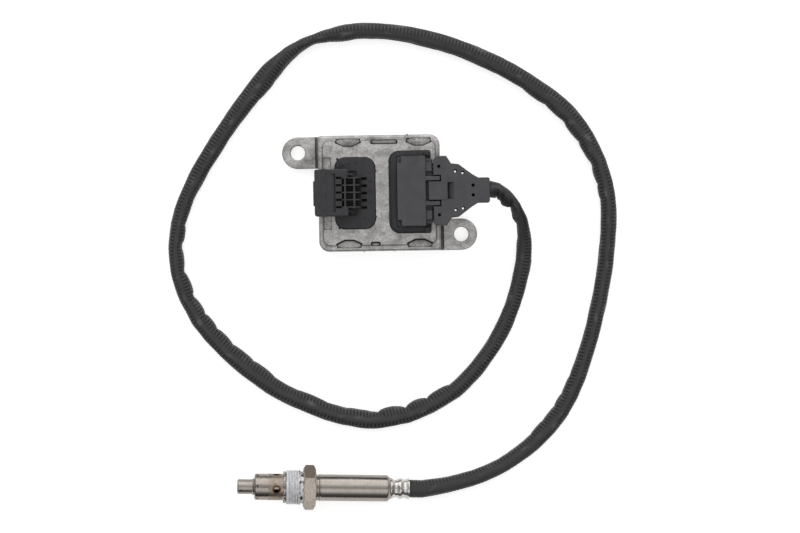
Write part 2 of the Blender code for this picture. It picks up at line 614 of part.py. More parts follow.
def build_vehicle_header():
    header = plate("vehicle_header", [vehicle_flange(0)], FLANGE_UNDER, FLANGE_TOP, BLACK_PLASTIC)
    spigot = plate("vehicle_spigot", [vehicle_flange(FLANGE_LEDGE + GAP)],
                   FLANGE_UNDER - SPIGOT_DEPTH, FLANGE_TOP - FLANGE_THICKNESS / 2)
    half = SHROUD_WIDTH / 2
    rib_half = (VEHICLE_PINS - 1) / 2 * LATTICE_PITCH + LATTICE_RIB / 2
    shroud = blocks("shroud", [((SHROUD_LEFT, -half, SHROUD_BOTTOM), (SHROUD_RIGHT, half, SHROUD_TOP))])
    soften(shroud, SHROUD_ROUND)
    pedestal = blocks("shroud_pedestal", [
        ((VEHICLE_FLANGE_LEFT + FLANGE_CORNER / 2, -half + SHROUD_WALL, FLANGE_TOP - FLANGE_THICKNESS / 2),
         (SHROUD_RIGHT - SHROUD_ROUND, half - SHROUD_WALL, SHROUD_BOTTOM + SHROUD_WALL / 2)),
    ])
    lattice = blocks("lattice", [
        ((SHROUD_RIGHT - SHROUD_WALL, -rib_half, FLANGE_TOP - FLANGE_THICKNESS / 2),
         (LATTICE_RIGHT, rib_half, LATTICE_TOP)),
    ])
    lip_half = MOUTH_LIP_WIDTH / 2
    lip = blocks("mouth_lip", [
        ((SHROUD_LEFT - MOUTH_LIP_REACH, -lip_half, SHROUD_BOTTOM + GAP),
         (SHROUD_LEFT + SHROUD_WALL, lip_half, SHROUD_BOTTOM + SHROUD_WALL - GAP)),
    ])
    join(header, spigot, shroud, pedestal, lattice, lip)

    socket = blocks("socket", [
        ((SHROUD_LEFT - MOUTH_LIP_REACH, SHROUD_WALL - half, SHROUD_BOTTOM + SHROUD_WALL),
         (SHROUD_LEFT + SOCKET_DEPTH, half - SHROUD_WALL, SHROUD_TOP - SHROUD_WALL)),
    ])
    ribs = spread(VEHICLE_PINS, LATTICE_PITCH)
    cells = []
    for low, high in zip(ribs, ribs[1:]):
        right = LATTICE_RIGHT - LATTICE_RIB
        for length in reversed(LATTICE_CELLS):
            first_cell = right - length
            cells.append(((first_cell, low + LATTICE_RIB / 2, LATTICE_TOP - LATTICE_CELL_DEPTH),
                          (right, high - LATTICE_RIB / 2, 2 * LATTICE_TOP)))
            right = first_cell - LATTICE_RIB
    cell_cutter = blocks("lattice_cells", cells)
    slot_end = first_cell - LATTICE_RIB
    slot_cutter = blocks("lattice_slots", [
        ((slot_end - LATTICE_SLOT_LENGTH, y - LATTICE_SLOT / 2, SHROUD_TOP - LATTICE_SLOT_DEPTH),
         (slot_end, y + LATTICE_SLOT / 2, 2 * SHROUD_TOP))
        for y in ribs
    ] + [
        ((LATTICE_RIGHT + LATTICE_RIB, y - LATTICE_SLOT / 2, FLANGE_TOP - LATTICE_SLOT_DEPTH),
         (LATTICE_RIGHT + LATTICE_RIB + LATTICE_SLOT_LENGTH, y + LATTICE_SLOT / 2, LATTICE_TOP))
        for y in ribs
    ])
    reach = VEHICLE_PIN / 2 + GAP
    runs = blocks("pin_channels", [
        ((SHROUD_LEFT + SOCKET_DEPTH - GAP, y - reach, VEHICLE_PIN_HEIGHT - reach),
         (VEHICLE_PIN_FOOT + reach, y + reach, VEHICLE_PIN_HEIGHT + reach)) for y in ribs
    ])
    drops = blocks("pin_drops", [
        ((VEHICLE_PIN_FOOT - reach, y - reach, FLANGE_UNDER - 2 * SPIGOT_DEPTH),
         (VEHICLE_PIN_FOOT + reach, y + reach, VEHICLE_PIN_HEIGHT)) for y in ribs
    ])
    cut(header, socket, cell_cutter, slot_cutter, runs, drops)

    half_pin = VEHICLE_PIN / 2
    for number, y in enumerate(ribs, 1):
        pin = blocks(f"vehicle_pin_{number}", [
            ((SHROUD_LEFT + SOCKET_DEPTH - VEHICLE_PIN_OUT, y - half_pin, VEHICLE_PIN_HEIGHT - half_pin),
             (VEHICLE_PIN_FOOT + half_pin, y + half_pin, VEHICLE_PIN_HEIGHT + half_pin)),
        ], TINNED_BRASS)
        foot = blocks(f"vehicle_pin_foot_{number}", [
            ((VEHICLE_PIN_FOOT - half_pin, y - half_pin, BOARD_TOP + GAP),
             (VEHICLE_PIN_FOOT + half_pin, y + half_pin, VEHICLE_PIN_HEIGHT)),
        ])
        join(pin, foot)
    plate("vehicle_header_seal", [vehicle_flange(GAP), vehicle_flange(FLANGE_LEDGE)],
          RECESS_FLOOR + SEAL_GAP, FLANGE_UNDER - SEAL_GAP, SEALANT)


def sensor_contacts():
    """Where the eight contacts of the sensor plug lie across it."""
    return [PLUG_Y + y for y in spread(SENSOR_WIRE_COUNT, CONTACT_PITCH)]


def build_sensor_header():
    header = plate("sensor_header", [sensor_flange(0)], FLANGE_UNDER, FRAME_TOP, BLACK_PLASTIC)
    spigot = plate("sensor_spigot", [sensor_flange(FLANGE_LEDGE + GAP)],
                   FLANGE_UNDER - SPIGOT_DEPTH, FLANGE_TOP - FLANGE_THICKNESS / 2)
    join(header, spigot)
    half = PLUG_WIDTH / 2 + GAP
    pocket = blocks("plug_pocket", [
        ((PLUG_LEFT - GAP, PLUG_Y - half, FLANGE_TOP), (PLUG_RIGHT + GAP, PLUG_Y + half, 2 * PLUG_TOP)),
    ])
    reach = SENSOR_PIN / 2 + GAP
    holes = blocks("sensor_pin_holes", [
        ((SENSOR_PIN_X - reach, y - reach, FLANGE_UNDER - 2 * SPIGOT_DEPTH),
         (SENSOR_PIN_X + reach, y + reach, PLUG_UNDER)) for y in sensor_contacts()
    ])
    cut(header, pocket, holes)
    half_pin = SENSOR_PIN / 2
    for number, y in enumerate(sensor_contacts(), 1):
        blocks(f"sensor_pin_{number}", [
            ((SENSOR_PIN_X - half_pin, y - half_pin, BOARD_TOP + GAP),
             (SENSOR_PIN_X + half_pin, y + half_pin, CONTACT_HEIGHT - CONTACT_RADIUS - GAP)),
        ], TINNED_BRASS)
    plate("sensor_header_seal", [sensor_flange(GAP), sensor_flange(FLANGE_LEDGE)],
          RECESS_FLOOR + SEAL_GAP, FLANGE_UNDER - SEAL_GAP, SEALANT)


def build_plug():
    half = PLUG_WIDTH / 2
    plug = blocks("sensor_plug", [
        ((PLUG_LEFT, PLUG_Y - half, PLUG_UNDER), (PLUG_RIGHT, PLUG_Y + half, PLUG_TOP)),
    ], CHARCOAL_PLASTIC)
    soften(plug, PLUG_ROUND)
    notch_x, notch_y = PLUG_NOTCH
    notches = blocks("plug_notches", [
        ((PLUG_LEFT - GAP, PLUG_Y + min(side * half, side * (half - notch_y)), FRAME_TOP),
         (PLUG_LEFT + notch_x, PLUG_Y + max(side * half, side * (half - notch_y)), 2 * PLUG_TOP))
        for side in (-1, 1)
    ])
    step_half = PLUG_STEP_WIDTH / 2
    step = blocks("plug_step", [
        ((PLUG_RIGHT - PLUG_ROUND * 2, PLUG_Y - step_half, FRAME_TOP + PLUG_STEP_GAP),
         (PLUG_RIGHT + PLUG_STEP_LENGTH, PLUG_Y + step_half, PLUG_STEP_TOP)),
    ])
    inner = TONGUE_WIDTH / 2 + TONGUE_GAP
    bars = blocks("guard_bars", [
        ((PLUG_RIGHT - PLUG_ROUND * 2, PLUG_Y + min(side * inner, side * (inner + GUARD_BAR)),
          COVER_TOP - GUARD_BAR_HEIGHT),
         (PLUG_RIGHT + GUARD_BAR_LENGTH, PLUG_Y + max(side * inner, side * (inner + GUARD_BAR)),
          COVER_TOP - GAP))
        for side in (-1, 1)
    ])
    braces = blocks("guard_bar_feet", [
        ((PLUG_RIGHT - PLUG_ROUND, PLUG_Y + min(side * inner, side * (inner + GUARD_BAR)) + GAP,
          PLUG_STEP_TOP - GUARD_BAR_HEIGHT),
         (PLUG_RIGHT + PLUG_STEP_LENGTH - GAP, PLUG_Y + max(side * inner, side * (inner + GUARD_BAR)) - GAP,
          COVER_TOP - GUARD_BAR_HEIGHT / 2))
        for side in (-1, 1)
    ])
    cut(plug, notches)
    join(plug, step, bars, braces)
    reach = CONTACT_RADIUS + GAP
    start = SENSOR_PIN_X - CONTACT_LENGTH / 2
    channels = blocks("contact_channels", [
        ((start - GAP, y - reach, CONTACT_HEIGHT - reach),
         (PLUG_RIGHT + 2 * PLUG_STEP_LENGTH, y + reach, CONTACT_HEIGHT + reach)) for y in sensor_contacts()
    ])
    narrow = SENSOR_PIN / 2 + GAP
    shafts = blocks("pin_shafts", [
        ((SENSOR_PIN_X - narrow, y - narrow, FLANGE_TOP), (SENSOR_PIN_X + narrow, y + narrow, CONTACT_HEIGHT))
        for y in sensor_contacts()
    ])
    cut(plug, channels, shafts)
    outer = rectangle(PLUG_LEFT + GAP, PLUG_RIGHT - GAP, PLUG_Y - half + GAP, PLUG_Y + half - GAP, (MM,) * 4)
    width = PLUG_SEAL_WIDTH + GAP
    inside = rectangle(PLUG_LEFT + width, PLUG_RIGHT - width, PLUG_Y - half + width, PLUG_Y + half - width,
                       (MM,) * 4)
    plate("plug_seal", [outer, inside], FLANGE_TOP + SEAL_GAP, PLUG_UNDER - SEAL_GAP, SEAL_RUBBER)


def cover_outline(inset):
    """Half of the Y-shaped cover from the plug to the neck's end, then its mirror image."""
    wide, waist, neck = COVER_WIDTH / 2 - inset, WAIST_WIDTH / 2 - inset, NECK_WIDTH / 2 - inset
    waist_x = COVER_END - WAIST_START
    neck_x = COVER_END - NECK_LENGTH
    half = [
        (COVER_START, wide - COVER_CHAMFER), (COVER_START + COVER_CHAMFER, wide),
        (COVER_START + COVER_SHOULDER, wide),
        (waist_x - WAIST_LENGTH / 4, waist), (waist_x + WAIST_LENGTH, waist - COVER_CHAMFER / 4),
        (neck_x - WAIST_LENGTH, neck + COVER_CHAMFER), (neck_x, neck), (COVER_END, neck),
    ]
    return [(x, PLUG_Y - y) for x, y in half] + [(x, PLUG_Y + y) for x, y in reversed(half)]


def build_cover():
    cover = plate("wire_cover", [cover_outline(0)], COVER_BOTTOM, COVER_TOP, CHARCOAL_PLASTIC)
    soften_top(cover, COVER_ROUND)
    inside = cover_outline(COVER_WALL)
    first, last = COVER_START, COVER_END
    stretched = [(x - COVER_WALL if x == first else x + COVER_WALL if x == last else x, y) for x, y in inside]
    hollow = plate("cover_hollow", [stretched], COVER_BOTTOM + COVER_WALL, COVER_TOP - COVER_WALL)
    clear = TONGUE_WIDTH / 2 + 2 * TONGUE_GAP + GUARD_BAR
    window = blocks("tongue_window", [
        ((COVER_START - MM, PLUG_Y - clear, PLUG_STEP_TOP - COVER_WALL / 2),
         (COVER_START + TONGUE_WINDOW, PLUG_Y + clear, 2 * COVER_TOP)),
    ])
    tongue = blocks("tongue", [
        ((COVER_START - TONGUE_OUT, PLUG_Y - TONGUE_WIDTH / 2, COVER_TOP - GAP - TONGUE_THICKNESS),
         (COVER_START + 2 * TONGUE_WINDOW, PLUG_Y + TONGUE_WIDTH / 2, COVER_TOP - GAP)),
    ])
    sight = rods("sight_holes", SIGHT_HOLE / 2, [
        ((x, PLUG_Y + side * y, 0), (x, PLUG_Y + side * y, 2 * COVER_TOP)) for x, y in SIGHT_HOLES for side in (-1, 1)
    ])
    blind = rods("blind_holes", SIGHT_HOLE / 2, [
        ((x, PLUG_Y + side * y, COVER_TOP - BLIND_DEPTH), (x, PLUG_Y + side * y, 2 * COVER_TOP))
        for x, y in BLIND_HOLES for side in (-1, 1)
    ])
    cut(cover, hollow, window, sight, blind)
    join(cover, tongue)


def build_plug_leads():
    """Eight wires with their crimped contacts, which gather into two rows in the neck of the cover."""
    start = SENSOR_PIN_X - CONTACT_LENGTH / 2
    end = SENSOR_PIN_X + CONTACT_LENGTH / 2
    columns = spread(SENSOR_WIRE_COUNT // 2, WIRE_COLUMN)
    middle = (COVER_BOTTOM + PLUG_STEP_TOP) / 2 + COVER_WALL / 2
    for number, y in enumerate(sensor_contacts(), 1):
        row = middle + (WIRE_ROW / 2 if number % 2 else -WIRE_ROW / 2)
        neck = PLUG_Y + columns[(number - 1) // 2]
        bend_x = COVER_START + TONGUE_WINDOW
        points = [
            (start, y, CONTACT_HEIGHT), (end, y, CONTACT_HEIGHT), (end + GAP, y, CONTACT_HEIGHT),
            (COVER_START, y, CONTACT_HEIGHT), (bend_x, PLUG_Y + (y - PLUG_Y) * 0.96, row),
            (COVER_END - NECK_LENGTH - WAIST_LENGTH, neck, row), (COVER_END - GAP, neck, row),
        ]
        thin = [CONTACT_RADIUS] * 2 + [WIRE_RADIUS] * 5
        colour = WIRE_RED if number == SENSOR_WIRE_COUNT - 1 else WIRE_BLACK
        tube(f"plug_lead_{number}", points, WIRE_RADIUS, colour, thin)


def rest_angle():
    """How far the probe leans when it lies on its hexagon and on the end of its sleeve."""
    return math.atan((HEX_FLATS / 2 - SLEEVE_RADIUS) / (SLEEVE_END - HEX_END))


def probe_place():
    """The probe's frame: Z runs along its axis from the tip, and X points up."""
    lean = rest_angle()
    along = Vector((math.cos(lean) * math.cos(PROBE_YAW), math.cos(lean) * math.sin(PROBE_YAW), -math.sin(lean)))
    up = Vector((math.sin(lean) * math.cos(PROBE_YAW), math.sin(lean) * math.sin(PROBE_YAW), math.cos(lean)))
    height = HEX_FLATS / 2 * math.cos(lean) + HEX_END * math.sin(lean)
    turn = Matrix((up, along.cross(up), along)).transposed().to_4x4()
    return Matrix.Translation((*PROBE_TIP, height)) @ turn


def ring_of(count, turn, distance, height):
    """Lines from the axis outwards, for a ring of holes."""
    lines = []
    for i in range(count):
        angle = turn + 2 * math.pi * i / count
        out = Vector((math.cos(angle), math.sin(angle), 0)) * distance
        level = Vector((0, 0, height))
        lines.append((level + out * 0.6, level + out * 1.4))
    return lines


def build_protection_tubes(axis):
    rear = SEAT_START - GAP
    flange = SEAT_START - TIP_BEAD - TUBE_WALL - GAP
    tip = turned(
        "tip_tube",
        [(JOURNAL_RADIUS, flange), (JOURNAL_RADIUS, flange - TUBE_WALL), (TIP_RADIUS, flange - TUBE_WALL),
         (TIP_RADIUS, OUTER_START - GAP), (TIP_RADIUS + TIP_BEAD, OUTER_START - GAP),
         (TIP_RADIUS + TIP_BEAD, OUTER_START - GAP - TIP_BEAD), (TIP_RADIUS, OUTER_START - 3 * TIP_BEAD),
         *[(TIP_RADIUS - TIP_ROUND + x, TIP_ROUND + y) for x, y in arc(0, 0, TIP_ROUND, 0, -90, 3)]],
        [(TIP_HOLE / 2, 0), (TIP_HOLE / 2, TUBE_WALL), (TIP_RADIUS - TUBE_WALL, TUBE_WALL + TIP_ROUND / 2),
         (TIP_RADIUS - TUBE_WALL, flange)],
        STAINLESS, axis,
    )
    inner_holes = rods("inner_tube_holes", SMALL_HOLE / 2,
                       ring_of(SMALL_HOLES, 0, TIP_RADIUS, OUTER_START + OUTER_LENGTH / 2), 8, None, axis)
    cut(tip, inner_holes)
    outer = turned(
        "outer_tube",
        [(OUTER_RADIUS, rear),
         *[(OUTER_RADIUS - OUTER_ROUND + x, OUTER_START + OUTER_ROUND + y)
           for x, y in arc(0, 0, OUTER_ROUND, 0, -90, 3)]],
        [(TIP_RADIUS + GAP, OUTER_START), (TIP_RADIUS + GAP, OUTER_START + TUBE_WALL),
         (OUTER_RADIUS - TUBE_WALL - OUTER_ROUND / 2, OUTER_START + TUBE_WALL),
         (OUTER_RADIUS - TUBE_WALL, OUTER_START + TUBE_WALL + OUTER_ROUND / 2), (OUTER_RADIUS - TUBE_WALL, rear)],
        STAINLESS, axis,
    )
    small = rods("small_gas_holes", SMALL_HOLE / 2,
                 ring_of(SMALL_HOLES, SMALL_HOLE_TURN, OUTER_RADIUS, OUTER_START + SMALL_HOLE_AT), 8, None, axis)
    large = rods("large_gas_holes", LARGE_HOLE / 2,
                 ring_of(LARGE_HOLES, LARGE_HOLE_TURN, OUTER_RADIUS, OUTER_START + LARGE_HOLE_AT), HOLE_STEPS, None,
                 axis)
    cut(outer, small, large)


def build_shell(axis):
    nose = SEAT_START - TIP_BEAD
    turned(
        "probe_body",
        [(JOURNAL_RADIUS, SHELL_END), (JOURNAL_RADIUS, SEAT_START + SEAT_LENGTH),
         (SEAT_RADIUS, SEAT_START + SEAT_LENGTH), (SEAT_RADIUS, SEAT_START), (JOURNAL_RADIUS, SEAT_START),
         (JOURNAL_RADIUS, nose)],
        [(SHELL_NOSE_BORE, nose), (SHELL_NOSE_BORE, SEAT_START + SEAT_LENGTH / 2),
         (SHELL_BORE, SEAT_START + SEAT_LENGTH / 2), (SHELL_BORE, SHELL_END)],
        STAINLESS, axis,
    )


def build_union_screw(axis):
    """Thread, relief neck and hexagon in one piece, loose on the shell between the seat and the sleeve."""
    mesh = bpy.data.meshes.new("union_screw")
    made = bmesh.new()
    bmesh.ops.create_cone(
        made, cap_ends=True, segments=6, radius1=HEX_FLATS / math.sqrt(3), radius2=HEX_FLATS / math.sqrt(3),
        depth=HEX_LENGTH, matrix=Matrix.Translation((0, 0, (HEX_START + HEX_END) / 2)),
    )
    made.to_mesh(mesh)
    made.free()
    screw = place("union_screw", mesh, STEEL_MATT, axis)
    face = HEX_FLATS / 2 - GAP
    corner = HEX_FLATS / math.sqrt(3) + GAP
    chamfer = turned(
        "hexagon_chamfer",
        [(0, HEX_END + GAP), (face, HEX_END + GAP), (face, HEX_END), (corner, HEX_END - HEX_CHAMFER),
         (corner, HEX_START + HEX_CHAMFER), (face, HEX_START), (face, HEX_START - GAP), (0, HEX_START - GAP)],
        [], None, axis,
    )
    boolean(screw, chamfer, "INTERSECT")
    shank = turned(
        "shank",
        [(0, HEX_START + HEX_LENGTH / 2), (RELIEF_RADIUS, HEX_START + HEX_LENGTH / 2),
         (RELIEF_RADIUS, HEX_START - RELIEF_LENGTH + THREAD_CHAMFER), (THREAD_RADIUS, HEX_START - RELIEF_LENGTH),
         (THREAD_RADIUS, THREAD_START + THREAD_CHAMFER), (THREAD_RADIUS - THREAD_CHAMFER, THREAD_START),
         (0, THREAD_START)],
        [], None, axis,
    )
    join(screw, shank)
    bore = turned(
        "union_bore",
        [(0, HEX_END + MM), (JOURNAL_RADIUS + GAP, HEX_END + MM), (JOURNAL_RADIUS + GAP, THREAD_START - MM),
         (0, THREAD_START - MM)],
        [], None, axis,
    )
    cut(screw, bore)


def collar_profile():
    """The crimped collar's outside, from its flared end to the shoulder: two dips with a bulge between them."""
    steps = 8
    points = []
    for i in range(steps, -1, -1):
        share = i / steps
        radius = COLLAR_RADIUS + CRIMP_DEPTH * math.cos(4 * math.pi * share)
        points.append((radius, COLLAR_START + COLLAR_LENGTH * share))
    return points


def build_sleeve(axis):
    collar = collar_profile()
    bore = COLLAR_RADIUS - CRIMP_DEPTH - TUBE_WALL
    turned(
        "protective_sleeve",
        [*collar, (SLEEVE_RADIUS, SLEEVE_END), (SLEEVE_RADIUS, SLEEVE_START)],
        [(SLEEVE_RADIUS - TUBE_WALL, SLEEVE_START), (SLEEVE_RADIUS - TUBE_WALL, SLEEVE_END - TUBE_WALL),
         (bore, COLLAR_START), (bore, PROBE_LENGTH)],
        STAINLESS, axis,
    )
    head = SLEEVE_END - TUBE_WALL - GAP
    outer = bore - GAP
    turned(
        "grommet",
        [(outer, PROBE_LENGTH - GAP), (outer, head), (SLEEVE_RADIUS - TUBE_WALL - GAP, head),
         (SLEEVE_RADIUS - TUBE_WALL - GAP, head - GROMMET_HEAD)],
        [(outer - GROMMET_WALL, head - GROMMET_HEAD), (outer - GROMMET_WALL, PROBE_LENGTH - GAP)],
        SEAL_RUBBER, axis,
    )


def build_element(axis):
    """The ceramic element, what holds it in the shell, and the holder that presses the contacts on it."""
    half_width, half_thickness = ELEMENT_WIDTH / 2, ELEMENT_THICKNESS / 2
    blocks("ceramic_element", [
        ((-half_thickness, -half_width, ELEMENT_START),
         (half_thickness, half_width, ELEMENT_END)),
    ], ZIRCONIA, axis)
    slot = blocks("element_slot", [
        ((-half_thickness - GAP, -half_width - GAP, 0),
         (half_thickness + GAP, half_width + GAP, PROBE_LENGTH)),
    ], None, axis)
    radius = SHELL_BORE - GAP
    start = SEAT_START + SEAT_LENGTH / 2 + GAP
    ends = (start, start + FRONT_INSULATOR, start + FRONT_INSULATOR + TALC_LENGTH, SHELL_END)
    kinds = (("front_insulator", STEATITE), ("talc_packing", TALC), ("rear_insulator", STEATITE))
    for (name, material), low, high in zip(kinds, ends, ends[1:]):
        ring = rods(name, radius, [((0, 0, low), (0, 0, high - GAP))], 24, material, axis)
        cut(ring, slot)
    end = HOLDER_START + HOLDER_LENGTH
    length = [((0, 0, HOLDER_START), (0, 0, end))]
    holder = rods("contact_holder", SLEEVE_RADIUS - TUBE_WALL - GAP, length, 24, STEATITE, axis)
    reach = half_thickness + 2 * SPRING_RADIUS + 2 * GAP
    chamber = blocks("contact_chamber", [
        ((-reach, -half_width - GAP, HOLDER_START - MM), (reach, half_width + GAP, end + MM)),
    ], None, axis)
    cut(holder, chamber)


def build_probe_leads(axis):
    """Eight wires with their spring contacts, four on each face of the element."""
    count = SENSOR_WIRE_COUNT // 2
    holder_end = HOLDER_START + HOLDER_LENGTH
    number = 0
    for side in (-1, 1):
        height = side * (ELEMENT_THICKNESS / 2 + SEAL_GAP + SPRING_RADIUS)
        for close, wide in zip(spread(count, SPRING_PITCH), spread(count, LEAD_PITCH)):
            number += 1
            points = [
                (height, close, ELEMENT_END - SPRING_LENGTH), (height, close, holder_end),
                (side * LEAD_SPREAD, wide, holder_end + LEAD_FAN),
                (side * LEAD_SPREAD, wide, PROBE_LENGTH - GAP),
            ]
            radii = [SPRING_RADIUS] * 2 + [LEAD_RADIUS] * 2
            tube(f"probe_lead_{number}", points, LEAD_RADIUS, WIRE_BLACK, radii, axis)


def smooth_route(points, count):
    """Evenly spaced points of a smooth curve through the route's points."""
    ends = [2 * points[0] - points[1], *points, 2 * points[-1] - points[-2]]
    dense = []
    for a, b, c, d in zip(ends, ends[1:], ends[2:], ends[3:]):
        for i in range(12):
            t = i / 12
            dense.append(0.5 * (2 * b + (c - a) * t + (2 * a - 5 * b + 4 * c - d) * t ** 2
                                + (3 * b - a - 3 * c + d) * t ** 3))
    dense.append(points[-1])
    lengths = [0.0]
    for a, b in zip(dense, dense[1:]):
        lengths.append(lengths[-1] + (b - a).length)
    even, at = [], 0
    for i in range(count):
        goal = lengths[-1] * i / (count - 1)
        while at < len(dense) - 2 and lengths[at + 1] < goal:
            at += 1
        share = (goal - lengths[at]) / (lengths[at + 1] - lengths[at])
        even.append(dense[at].lerp(dense[at + 1], min(share, 1)))
    return even


def build_cable(frame):
    """The cable leaves the neck and meets the collar in short straight stretches."""
    exit_face = Vector((COVER_END + GAP, PLUG_Y, (COVER_BOTTOM + COVER_TOP) / 2))
    straight = CABLE_DIAMETER / 3
    start = exit_face + Vector((straight, 0, 0))
    end = frame @ Vector((0, 0, PROBE_LENGTH + GAP + straight))
    collar_face = frame @ Vector((0, 0, PROBE_LENGTH + GAP))
    route = [start, *[Vector(point) * MM for point in CABLE_ROUTE], end]
    points = [exit_face, *smooth_route(route, CABLE_POINT_COUNT), collar_face]
    tube("cable_sleeve", points, CABLE_DIAMETER / 2, SLEEVE_FABRIC)


for old in list(bpy.data.objects):
    bpy.data.objects.remove(old)

PIECES = new_collection("nitrogen_oxide_sensor")
HELPERS = new_collection("cutters")
HELPERS.hide_render = True

CAST_ALUMINIUM = finish("Cast aluminium", "#AFACAA", 0.55, 1.0)
STEEL_SHEET = finish("Zinc-plated steel sheet", "#B5B6B8", 0.35, 1.0)
STAINLESS = finish("Stainless steel", "#B3ABA4", 0.28, 1.0)
STEEL_MATT = finish("Blasted stainless steel", "#A69E97", 0.5, 1.0)
BLACK_PLASTIC = finish("Black moulded polyamide", "#323234", 0.5)
CHARCOAL_PLASTIC = finish("Charcoal moulded polyamide", "#4B4B4E", 0.55)
SEALANT = finish("Silicone sealant", "#5A5C5E", 0.6)
SEAL_RUBBER = finish("Fluoroelastomer seal", "#2B2622", 0.7)
BOARD_GREEN = finish("Solder-masked circuit board", "#1E5B38", 0.45)
CHIP_BLACK = finish("Chip moulding compound", "#1C1C1E", 0.6)
BRIGHT_TIN = finish("Tin-plated can", "#C9C9C6", 0.25, 1.0)
FERRITE = finish("Ferrite", "#38383C", 0.7)
TINNED_BRASS = finish("Tinned brass", "#C8BFA6", 0.3, 1.0)
ZIRCONIA = finish("Zirconia ceramic", "#E4DFD2", 0.5)
STEATITE = finish("Steatite", "#EFEDE6", 0.6)
TALC = finish("Pressed talc", "#DCD8CE", 0.9)
WIRE_BLACK = finish("Black wire insulation", "#1F1F20", 0.5)
WIRE_RED = finish("Dark red wire insulation", "#6A1F1C", 0.5)
SLEEVE_FABRIC = finish("Woven wrap sleeve", "#3A3B3D", 0.75)

build_housing()
build_base()
build_electronics()
build_vehicle_header()
build_sensor_header()
build_plug()
build_cover()
build_plug_leads()
PROBE_AXIS = bpy.data.objects.new("probe_axis", None)
PIECES.objects.link(PROBE_AXIS)
PROBE_AXIS.matrix_world = probe_place()
build_protection_tubes(PROBE_AXIS)
build_shell(PROBE_AXIS)
build_union_screw(PROBE_AXIS)
build_sleeve(PROBE_AXIS)
build_element(PROBE_AXIS)
build_probe_leads(PROBE_AXIS)
build_cable(probe_place())
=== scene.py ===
import math

import bmesh
import bpy
from mathutils import Matrix, Vector, noise


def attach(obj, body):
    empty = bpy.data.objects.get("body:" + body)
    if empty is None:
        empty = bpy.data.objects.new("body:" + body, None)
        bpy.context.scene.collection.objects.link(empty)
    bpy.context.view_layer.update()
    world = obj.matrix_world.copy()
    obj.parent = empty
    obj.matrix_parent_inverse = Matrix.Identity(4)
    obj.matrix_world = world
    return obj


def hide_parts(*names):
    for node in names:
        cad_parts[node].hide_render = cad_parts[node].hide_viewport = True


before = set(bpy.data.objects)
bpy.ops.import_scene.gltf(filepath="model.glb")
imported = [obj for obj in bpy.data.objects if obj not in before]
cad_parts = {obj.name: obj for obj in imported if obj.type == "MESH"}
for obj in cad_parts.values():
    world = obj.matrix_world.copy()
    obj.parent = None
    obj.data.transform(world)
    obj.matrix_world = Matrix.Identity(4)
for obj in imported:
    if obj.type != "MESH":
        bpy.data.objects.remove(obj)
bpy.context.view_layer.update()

# Lengths are in millimetres until a mesh is finished, which turns them to metres.
MM = 0.001
UP = Vector((0, 0, 1))

# Camera, straight above the object
CAMERA_PLACE = (10.96, -41.58, 1200.0)
CAMERA_ROLL = math.radians(-0.9)
CAMERA_LENS = 94.8

# Control unit, as the frame has it
HALF_X = 34.35
HALF_Y = 32.65
RIM_TOP = 15.2
PLATEAU_TOP = 16.0
HOUSING_ROOF = 3.2
FLANGE_UNDER = 14.9
FLANGE_TOP = 16.6
RECESS_FLOOR = 14.0
EAR_X = 46.05
EAR_Y = 23.7
EAR_RADIUS = 8.95
EAR_HEIGHT = 5.0
EAR_HOLE = 4.15
POCKET_FLOOR = 14.6
POCKET_MIDDLES = (-17.3, 22.5)
POCKET_HALF = 7.3
SIDES = (-1, 1)

# Headers' flanges: left, right, half width and corner radius
VEHICLE_FLANGE = (-24.7, -2.4, 19.9, 5.6)
SENSOR_FLANGE = (5.8, 28.6, 22.8, 5.6)

# Vehicle header
SHROUD_LEFT, SHROUD_RIGHT = -35.9, -17.1
SHROUD_HALF = 13.0
SHROUD_BOTTOM, SHROUD_TOP = 16.9, 30.9
SHROUD_WALL = 1.8
SOCKET_END = -24.3
LATTICE_RIGHT = -10.9
LATTICE_TOP = 30.0
LATTICE_PITCH = 4.07
LATTICE_RIB = 0.85
LATTICE_CELLS = ((-20.6, -19.5, 22.8), (-18.3, -14.4, 22.8), (-13.2, -9.7, FLANGE_TOP + 0.2))
HEADER_ROOT = 15.7
BUTTRESS_Y = 9.9
PIN_ROWS = [(i - 2) * LATTICE_PITCH for i in range(5)]
PIN_HEIGHT = 21.5
PIN_FOOT = -13.6

# Sensor header, plug and wire cover, all off the housing's middle by PLUG_Y
PLUG_Y = 0.3
PLUG_LEFT, PLUG_RIGHT = 10.0, 26.0
PLUG_HALF = 19.5
PLUG_UNDER, PLUG_TOP = 17.4, 28.9
NOTCH_DEPTH = 9.5
WIRE_ROWS = [PLUG_Y + (i - 3.5) * 4.2 for i in range(8)]
WIRE_PIN_X = (17.3, 18.7)
FRAME_TOP = 19.0
STEP_RIGHT = 29.8
STEP_TOP = 25.6
COVER_BOTTOM, COVER_TOP = 19.5, 28.9
COVER_START, COVER_END = 30.2, 61.6
COVER_WALL = 1.4
TONGUE_HALF = 5.1
SIGHT_RADIUS = 0.95
BAR_INNER, BAR_OUTER = 5.7, 8.2

